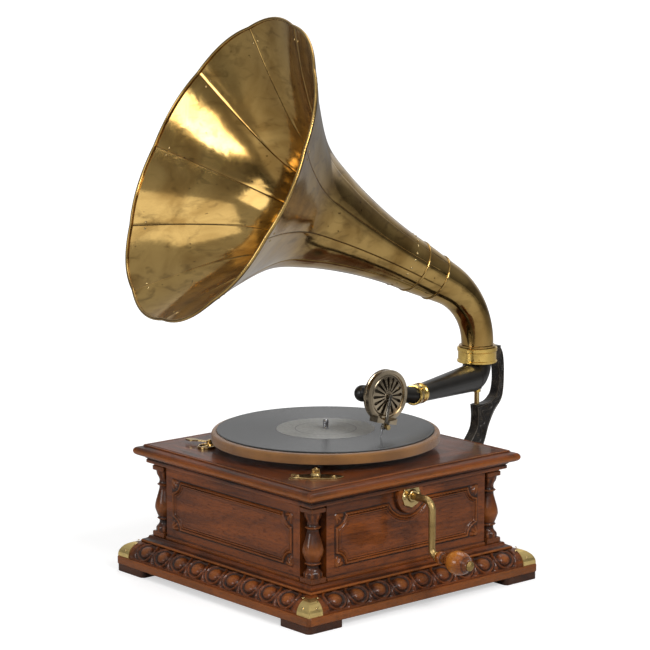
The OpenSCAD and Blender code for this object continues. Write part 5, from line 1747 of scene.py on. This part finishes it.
@dataclass
class Crank:
    """The crank: its scalloped plate, its bent rod and its turned knob."""

    z: float = 120.3
    pin_z: float = 59.0
    start: float = 122.0
    arm_x: float = 179.0
    rod_r: float = 4.0
    upper_bend: float = 11.0
    lower_bend: float = 8.0
    knob_x: float = 189.0
    knob_l: float = 50.0
    pin_r: float = 3.0
    bore_r: float = 3.05
    air: float = 0.3
    plate_x: float = 144.5
    plate_r: float = 14.0
    plate_up: float = 8.2
    lobes: int = 8
    lobe_depth: float = 0.035

    def rod(self) -> Skin:
        """The rod: straight, a quarter circle down, straight, and a quarter circle out.

        Returns:
            The closed rod.
        """
        quarter = np.radians(np.linspace(0, 90, 13))[:, None]
        top, low = self.upper_bend, self.lower_bend
        sine, cosine, none = np.sin(quarter), np.cos(quarter), 0 * quarter
        down = np.array([self.arm_x - top, 0, self.z - top]) + top * np.hstack([sine, none, cosine])
        out = np.array([self.arm_x + low, 0, self.pin_z + low]) - low * np.hstack([cosine, none, sine])
        shaft = np.linspace(self.start, self.arm_x - top, 30)[:-1]
        drop = np.linspace(self.z - top, self.pin_z + low, 14)[1:-1]
        level = np.stack([shaft, 0 * shaft, 0 * shaft + self.z], axis=1)
        upright = np.stack([0 * drop + self.arm_x, 0 * drop, drop], axis=1)
        path = np.concatenate([level, down, upright, out])
        swell = 0.7 * hill(path[:, 0], 157.0, 3.0)
        return swept(path, self.rod_r + swell - 0.25 * hill(path[:, 2], self.pin_z + 12, 8), (0, 1, 0))

    def pin(self) -> Skin:
        """The collar, the pin inside the knob and the domed cap past it.

        Returns:
            The closed pin.
        """
        near, far = self.knob_x - self.air, self.knob_x + self.knob_l + self.air
        start = self.arm_x + self.lower_bend
        outline = np.array([
            (4.6, start - 0.6), (5.5, start), (5.5, near - 0.4), (5.1, near), (self.pin_r, near),
            (self.pin_r, far), (5.2, far), (5.5, far + 0.3), (5.5, far + 0.9), (4.9, far + 1.5),
            (4.6, far + 1.5), (4.3, far + 2.1), (3.3, far + 2.9), (2.4, far + 3.0), (2.1, far + 3.3),
            (0.9, far + 3.5),
        ])
        return revolved(outline, (0, 0, self.pin_z), (1, 0, 0), around=32)

    def knob(self) -> Skin:
        """The turned knob: a neck, a long belly and a small end, with fine turned lines.

        Returns:
            The knob with its bore.
        """
        outer = smoothed([
            (5.6, 0), (7, 3), (7.2, 6), (5.6, 9.5), (5.2, 13), (7, 18), (11.6, 24), (13.4, 31), (12.8, 37),
            (10.4, 43), (6.8, 48), (6, self.knob_l),
        ], 5)
        line = hill(outer[:, 1], 8.6, 0.7) + hill(outer[:, 1], 14.0, 0.7) + hill(outer[:, 1], 45.5, 0.6)
        outer[:, 0] -= 0.3 * line
        loop = np.concatenate([outer, [[self.bore_r, self.knob_l], [self.bore_r, 0]]])
        # The relief paints the belly lighter as painted highlight and wear, and the turned lines, neck and
        # end darker as painted shade
        proud = (0.6 * hill(outer[:, 1], 31, 7) - 0.9 * line - 0.6 * hill(outer[:, 1], 11, 3)
                 - 0.5 * hill(outer[:, 1], 48, 3))
        wear_and_shade = np.concatenate([proud, [-0.5, -0.5]])
        return revolved(loop, (self.knob_x, 0, self.pin_z), (1, 0, 0), around=64, relief=wear_and_shade, closed=True)

    def plate(self) -> Skin:
        """The plate: a circle with eight soft lobes, level at its top, round a low boss.

        Returns:
            The plate with its hole.
        """
        a = circle(128)[None, :]
        lobe = 1 - self.lobe_depth * (1 - np.cos(self.lobes * a))
        rows = np.array([
            (4.1, 0), (self.plate_r, 0), (self.plate_r, 1.3), (self.plate_r - 0.8, 2.0), (8.2, 2.0),
            (7.0, 2.3), (6.5, 3.2), (6.3, 4.6), (5.8, 5.0), (4.1, 5.0),
        ])
        r = rows[:, :1] * np.where(rows[:, :1] > 9, lobe, 1.0)
        up = np.minimum(r * np.sin(a), self.plate_up)
        points = np.stack([self.plate_x + rows[:, 1:] + 0 * a, r * np.cos(a), self.z + up], axis=-1)
        # The relief paints the plate's edge and the boss's top lighter as painted highlight, and the boss's
        # foot and its hole darker as painted shade
        wear_and_shade = np.array([0, -0.4, 0.4, 0.5, 0, -0.8, -0.1, 0.4, 0.5, -0.8])[:, None] + 0 * a
        return lattice(points, wear_and_shade, closed_rows=True)

    def build(self) -> None:
        """Makes the crank's pieces."""
        bent = Skin.joined([self.rod(), self.pin()])
        bent.piece("bent_crank", "crank", CRANK_BRASS.material(), "pale_brass", ("crank_handle",))
        self.knob().piece("turned_knob", "crank_grip", KNOB_WOOD.material(), "dark_wood", ("crank_knob",))
        plate = self.plate()
        plate.piece("scalloped_plate", "cabinet", FITTING_BRASS.material(), "pale_brass", ("escutcheon",))


@dataclass
class SoundBox:
    """The face of the sound box, and the brass ferrule of the gooseneck."""

    centre: Point = (70.0, 23.7, 219.5)
    lean: float = 13.5
    slots: int = 16
    hole: float = 3.0
    grille_r: float = 25.45
    grille_back: float = 6.95
    slot_depth: float = 2.4
    pivot_y: float = 241.0
    arm_z: float = 203.7
    arm_bend: float = 17.3
    arm_l: float = 162.6
    yaw: float = 20.5
    rise: float = 2.33

    def placed(self, x: Array, y: Array, z: Array) -> Array:
        """Points of the sound box's own frame, which leans back about X, in the part's frame.

        Args:
            x: across the face, downwards.
            y: across the face, sideways.
            z: distance out from the back of the sound box.

        Returns:
            The points.
        """
        a = math.radians(self.lean)
        across, down = y, -x
        return np.array(self.centre) + np.stack([z, across * math.cos(a) + down * math.sin(a),
                                                 down * math.cos(a) - across * math.sin(a)], axis=-1)

    def grille(self) -> Skin:
        """The pierced dome: its height falls with the radius, less a wedge-shaped pit for each slot.

        Returns:
            The closed dome.
        """
        edge = [24.6, 25.0, self.grille_r, self.grille_r]
        r = np.concatenate([[self.hole], np.linspace(3.3, 24.2, 44), edge])[:, None]
        a = circle(16 * self.slots)[None, :]
        dome = np.interp(r, [3, 10, 18, 22, 23, 25.5], [11.5, 11.1, 10.1, 9.4, 8.7, 8.5])
        from_slot = np.abs(np.mod(a * self.slots / (2 * np.pi), 1) - 0.5) * 2 * np.pi * r / self.slots
        half = np.interp(r, [6.0, 7.0, 20.0, 21.4], [0.1, 0.55, 1.75, 0.1])
        slot = eased(half - from_slot, -0.15, 0.3) * ((r > 6.2) & (r < 21.3))
        hub = 0.35 * eased(6.4 - r, 0, 0.6) * (r > 4)
        step = -0.9 * hill(r, 22.6, 0.5)
        z = dome - self.slot_depth * slot + hub - 0.15
        # The relief paints the slots and a ring at the step dark as painted shade, and the bars lighter as
        # painted highlight
        relief = np.clip(0.45 * (1 - slot) - 1.6 * slot + step + 0 * a, -1, 1)
        above = self.placed(r * np.cos(a), r * np.sin(a), z)
        under = self.placed(r[::-1] * np.cos(a), r[::-1] * np.sin(a), self.grille_back + 0 * (r + a))
        wear_and_shade = np.concatenate([relief, 0 * relief])
        return lattice(np.concatenate([above, under]), wear_and_shade, closed_rows=True)

    def ferrule(self) -> Skin:
        """The gooseneck's brass ferrule: a plain band with rounded edges.

        Returns:
            The closed ring.
        """
        yaw, rise = math.radians(self.yaw), math.radians(self.rise)
        flat = self.arm_bend * (1 + math.sin(rise))
        origin = (flat * math.sin(yaw), self.pivot_y - flat * math.cos(yaw),
                  self.arm_z + self.arm_bend * (1 - math.cos(rise)))
        axis = (math.sin(yaw) * math.cos(rise), -math.cos(yaw) * math.cos(rise), math.sin(rise))
        h = self.arm_l - self.arm_bend
        loop = np.array([
            (11.1, h + 0.4), (11.6, h + 0.5), (11.8, h + 0.9), (11.8, h + 6.6), (12.0, h + 7.0),
            (12.0, h + 8.2), (11.6, h + 8.8), (10.9, h + 9.0), (9.8, h + 9.0), (9.6, h + 8.5),
            (11.1, h + 8.3),
        ])
        # The relief paints the band's faces lighter as painted highlight and its grooves and edges darker as
        # painted shade
        wear_and_shade = np.array([-0.6, 0.1, 0.3, 0.2, -0.5, 0.4, 0.3, -0.2, -0.6, -0.5, -0.5])
        return revolved(loop, origin, axis, around=64, relief=wear_and_shade, closed=True)

    def build(self) -> None:
        """Makes the sound box's pieces."""
        self.grille().piece("pierced_dome", "neck", BRONZE.material(), "bronze", ("soundbox_grille",))
        self.ferrule().piece("neck_ferrule", "neck", COLLAR_BRASS.material(), "pale_brass")


@dataclass
class SpeedPlate:
    """The leaf-shaped plate of the speed knob."""

    turn: float = -45.0
    knob_at: float = 146.0
    top: float = 150.3
    thick: float = 1.5
    hole: float = 3.05

    def plate(self) -> Skin:
        """The plate: a leaf with a point at one end and a swallow tail at the other, round the knob's hole.

        Returns:
            The plate with its hole.
        """
        front = smoothed([
            (31.0, 147.5), (27.0, 154.5), (18.0, 159.5), (6.0, 161.6), (-8.0, 161.4), (-19.0, 158.8),
            (-28.5, 160.5),
        ], 5)
        back = smoothed([
            (-27.5, 141.6), (-19.0, 143.4), (-8.0, 140.8), (6.0, 140.5), (18.0, 141.8), (27.0, 144.2),
            (31.0, 147.5),
        ], 5)[:-1]
        loop = np.concatenate([front, [(-21.5, 152.0)], back])
        centre = np.array([0.0, self.knob_at])
        away = loop - centre
        loop = loop[np.argsort(np.arctan2(away[:, 1], away[:, 0]))]
        away = (loop - centre) / np.linalg.norm(loop - centre, axis=1)[:, None]
        hole = centre + self.hole * away
        rings = np.stack([hole, loop, loop, loop - 0.5 * away, hole])
        low, high = self.top, self.top + self.thick
        z = np.array([low, low, high - 0.4, high, high])[:, None]
        a = math.radians(self.turn)
        x = rings[..., 1] * math.cos(a) - rings[..., 0] * math.sin(a)
        y = rings[..., 1] * math.sin(a) + rings[..., 0] * math.cos(a)
        # The relief paints the plate's top edge lighter as painted highlight and the ring by the hole darker
        # as painted shade
        wear_and_shade = np.array([-0.3, -0.3, 0.6, 0.1, -0.6])[:, None]
        return lattice(np.stack([x, y, z + 0 * x], axis=-1), wear_and_shade, closed_rows=True)

    def build(self) -> None:
        """Makes the plate."""
        self.plate().piece("leaf_plate", "cabinet", FITTING_BRASS.material(), "pale_brass", ("speed_plate",))


# The bracket's edges as (y, z): a straight stretch on the case, then the curves up to the collar
BRACKET_OUTER = (
    [(147, 64.8), (165, 67)],
    [(190, 73), (215, 83), (236, 100), (248, 119), (256, 140), (265, 156.5), (277, 171), (280.6, 186),
     (280.8, 212), (278.5, 229), (273.5, 236.4)],
)
BRACKET_INNER = (
    [(147, 104.6), (156, 102.4)],
    [(165, 101), (190, 102), (212, 112), (226, 127), (235, 140), (237, 153), (236, 166)],
    [(251, 168), (260, 171), (268.5, 179), (271.6, 195), (270.5, 212), (268.0, 220)],
)


@dataclass
class Bracket:
    """The cast vine and raised edges on both faces of the back bracket."""

    half: float = 5.5
    rows: int = 420
    columns: int = 44
    run: float = 260.0
    leaf_pitch: float = 12.0
    raised: float = 1.2

    def edge(self, stretches: tuple[list[tuple[float, float]], ...]) -> Array:
        """An edge's points at even distances, from its stretches of given points."""
        line = np.concatenate([smoothed(points, 4 if len(points) == 2 else 6) for points in stretches])
        return resampled(line, self.rows)[:, None, :]

    def side(self, sign: int) -> Skin:
        """One carved face.

        Points lie between the bracket's inner and outer edges, shared out by a value c from 0 to 1.
        The height is two hills for the raised edges, a hill along a sine for the vine, and
        ellipses on alternate sides for its leaves.

        Args:
            sign: 1 for the face towards +X and -1 for the other.

        Returns:
            The closed relief.
        """
        outer, inner = self.edge(BRACKET_OUTER), self.edge(BRACKET_INNER)
        c = np.linspace(0.03, 0.97, self.columns)[None, :, None]
        flat = inner * (1 - c) + outer * c
        width = np.linalg.norm(outer - inner, axis=2)
        s = np.linspace(0, self.run, self.rows)[:, None]
        across = (c[..., 0] - 0.5) * width
        vine = 0.16 * width * np.sin(2 * np.pi * s / (2 * self.leaf_pitch))
        leaf_at = np.mod(s, self.leaf_pitch) - self.leaf_pitch / 2
        way = np.where(np.mod(np.floor(s / self.leaf_pitch), 2) == 0, -1.0, 1.0)
        from_leaf = np.hypot(leaf_at / 4.8, (across - way * 0.2 * width) / (0.14 * width + 0.6))
        leaf = np.clip(1 - from_leaf ** 2, 0, 1)
        veins = 0.6 + 0.4 * np.cos(2 * np.pi * (leaf_at + 0.7 * np.abs(across)) / 2.4)
        edges = hill(c[..., 0] * width, 1.3, 0.8) + hill((1 - c[..., 0]) * width, 1.3, 0.8)
        growth = np.maximum(0.8 * hill(across, vine, 0.8), np.sqrt(leaf) * veins)
        shape = np.clip(np.maximum(edges, growth), 0, 1)
        ends = eased(s, 0, 5) * eased(self.run - s, 0, 5)
        height = 0.05 + self.raised * shape * ends
        front = np.concatenate([(self.half + height)[..., None], flat], axis=2)
        back = np.concatenate([np.full((*shape.shape, 1), self.half - 0.4), flat], axis=2)[:, ::-1]
        points = np.concatenate([front, back], axis=1) * np.array([sign, 1, 1])
        # The relief paints the raised edges, vine and leaves lighter as wear and painted highlight, and the
        # ground between them dark as painted shade
        relief = np.concatenate([1.9 * shape ** 1.5 - 0.95, 0 * shape], axis=1)
        return lattice(points, relief)

    def build(self) -> None:
        """Makes both faces as one piece."""
        both = Skin.joined([self.side(1), self.side(-1)])
        both.piece("bracket_vine", "cabinet", CAST_IRON.material(), "black_iron")


# Studio


@dataclass(frozen=True)
class Lamp:
    """A square soft lamp: where it stands, the point that it faces, its side, and its power in watts."""

    name: str
    place: Point
    aim: Point
    size: float
    power: float

    def build(self) -> None:
        """Makes the lamp."""
        data = bpy.data.lights.new(self.name, "AREA")
        data.size = self.size
        data.energy = self.power
        made = bpy.data.objects.new(self.name, data)
        made.location = self.place
        made.rotation_euler = (Vector(self.aim) - Vector(self.place)).to_track_quat("-Z", "Y").to_euler()
        bpy.context.scene.collection.objects.link(made)


LAMPS = (
    Lamp("key", (2.0, -0.1, 1.5), (0, 0, 0.25), 0.9, 32),
    Lamp("front", (-0.2, -2.1, 0.72), (-0.1, 0, 0.35), 0.72, 12.5),
    Lamp("side", (1.5, -1.6, 1.3), (0, 0, 0.3), 1.2, 9),
    Lamp("window", (0.0, -0.95, 2.05), (-0.16, -0.03, 0.4), 1.0, 3),
    Lamp("top", (-0.5, 0.9, 2.3), (0, 0, 0.2), 1.2, 12),
)
WHITE: Colour = (1.0, 1.0, 1.0)


@dataclass
class Studio:
    """A pale floor, soft lamps and the photograph's camera."""

    eye: Point = (2.12283, -1.82915, 0.77884)
    forward: Point = (-0.74660, 0.64294, -0.17091)
    lens: float = 138.31
    sensor: float = 36.0
    sight: float = 100.0
    ambient: float = 0.46
    horizon: float = 0.07
    sky: tuple[float, float] = (-0.1, 0.9)
    backdrop: float = 0.5
    behind: Point = (-0.757, 0.653, 0.0)
    backdrop_edge: tuple[float, float] = (0.6, 0.97)
    near_glow: float = 0.52
    far_glow: float = 0.9
    glow_reach: tuple[float, float] = (0.4, 2.0)
    floor_half: float = 30.0
    floor_tone: Colour = (0.62, 0.62, 0.62)
    reflected_tone: Colour = (0.52, 0.52, 0.52)

    def seen(self, w: Wiring) -> Socket:
        """1 for rays from the camera and through glass, and 0 for the others."""
        path = w.add("LightPath")
        return w.math("MAXIMUM", path.outputs["Is Camera Ray"], path.outputs["Is Transmission Ray"])

    def world(self) -> None:
        """White to the camera, and to all else a dim sky with a pale backdrop behind.

        The sky brightens from horizon to ambient with the height that a ray looks to.
        """
        made = bpy.data.worlds.new("studio")
        made.use_nodes = True
        bpy.context.scene.world = made
        w = Wiring(made.node_tree)
        way = w.add("TexCoord").outputs["Generated"]
        height = w.add("SeparateXYZ", {0: way}).outputs["Z"]
        facing = w.add("VectorMath", {0: way, 1: self.behind}, operation="DOT_PRODUCT").outputs["Value"]
        wall = w.times(w.ramp(facing, *self.backdrop_edge), self.backdrop)
        low, high = self.sky
        sky = {"Value": height, "From Min": low, "From Max": high, "To Min": self.horizon,
               "To Max": self.ambient}
        around = w.plus(w.add("MapRange", sky, interpolation_type="SMOOTHSTEP").outputs[0], wall)
        w.feed(made.node_tree.nodes["Background"], {
            "Strength": w.level(self.seen(w), around, 1.0),
            "Color": full(WHITE),
        })

    def floor(self) -> None:
        """A wide plain floor, white to the camera: its glow rises with the distance, as the lamps fade."""
        mesh = bpy.data.meshes.new("floor")
        far = self.floor_half
        mesh.from_pydata([(-far, -far, 0), (far, -far, 0), (far, far, 0), (-far, far, 0)], [], [(0, 1, 2, 3)])
        made, w, shader = started("floor_finish")
        low, high = self.glow_reach
        glow = {"Value": w.length(w.place()), "From Min": low, "From Max": high, "To Min": self.near_glow,
                "To Max": self.far_glow}
        mirrored = w.add("LightPath").outputs["Is Glossy Ray"]
        w.feed(shader, {
            "Base Color": w.mix(mirrored, self.floor_tone, self.reflected_tone),
            "Emission Strength": w.times(self.seen(w), w.add("MapRange", glow).outputs[0]),
            "Emission Color": full(WHITE),
            "Roughness": 0.9,
            "Specular IOR Level": 0.0,
        })
        mesh.materials.append(made)
        floor = bpy.data.objects.new("floor", mesh)
        bpy.context.scene.collection.objects.link(floor)

    def camera(self) -> None:
        """The photograph's camera."""
        data = bpy.data.cameras.new("camera")
        data.lens = self.lens
        data.sensor_width = self.sensor
        data.clip_end = self.sight
        made = bpy.data.objects.new("camera", data)
        made.location = self.eye
        made.rotation_euler = Vector(self.forward).to_track_quat("-Z", "Y").to_euler()
        bpy.context.scene.collection.objects.link(made)
        bpy.context.scene.camera = made

    def build(self) -> None:
        """Makes the whole studio."""
        bpy.context.scene.view_settings.view_transform = "Standard"
        self.world()
        self.floor()
        for lamp in LAMPS:
            lamp.build()
        self.camera()


def main() -> None:
    """Dresses the frame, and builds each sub-assembly and the studio."""
    logging.basicConfig(level=logging.INFO, format="%(name)s %(message)s")
    dress_frame()
    for assembly in (Cabinet(), Turntable(), Crank(), SpeedPlate(), SoundBox(), Bracket(), Horn(), Studio()):
        log.info("building %s", type(assembly).__name__)
        assembly.build()


if __name__ == "__main__":
    main()
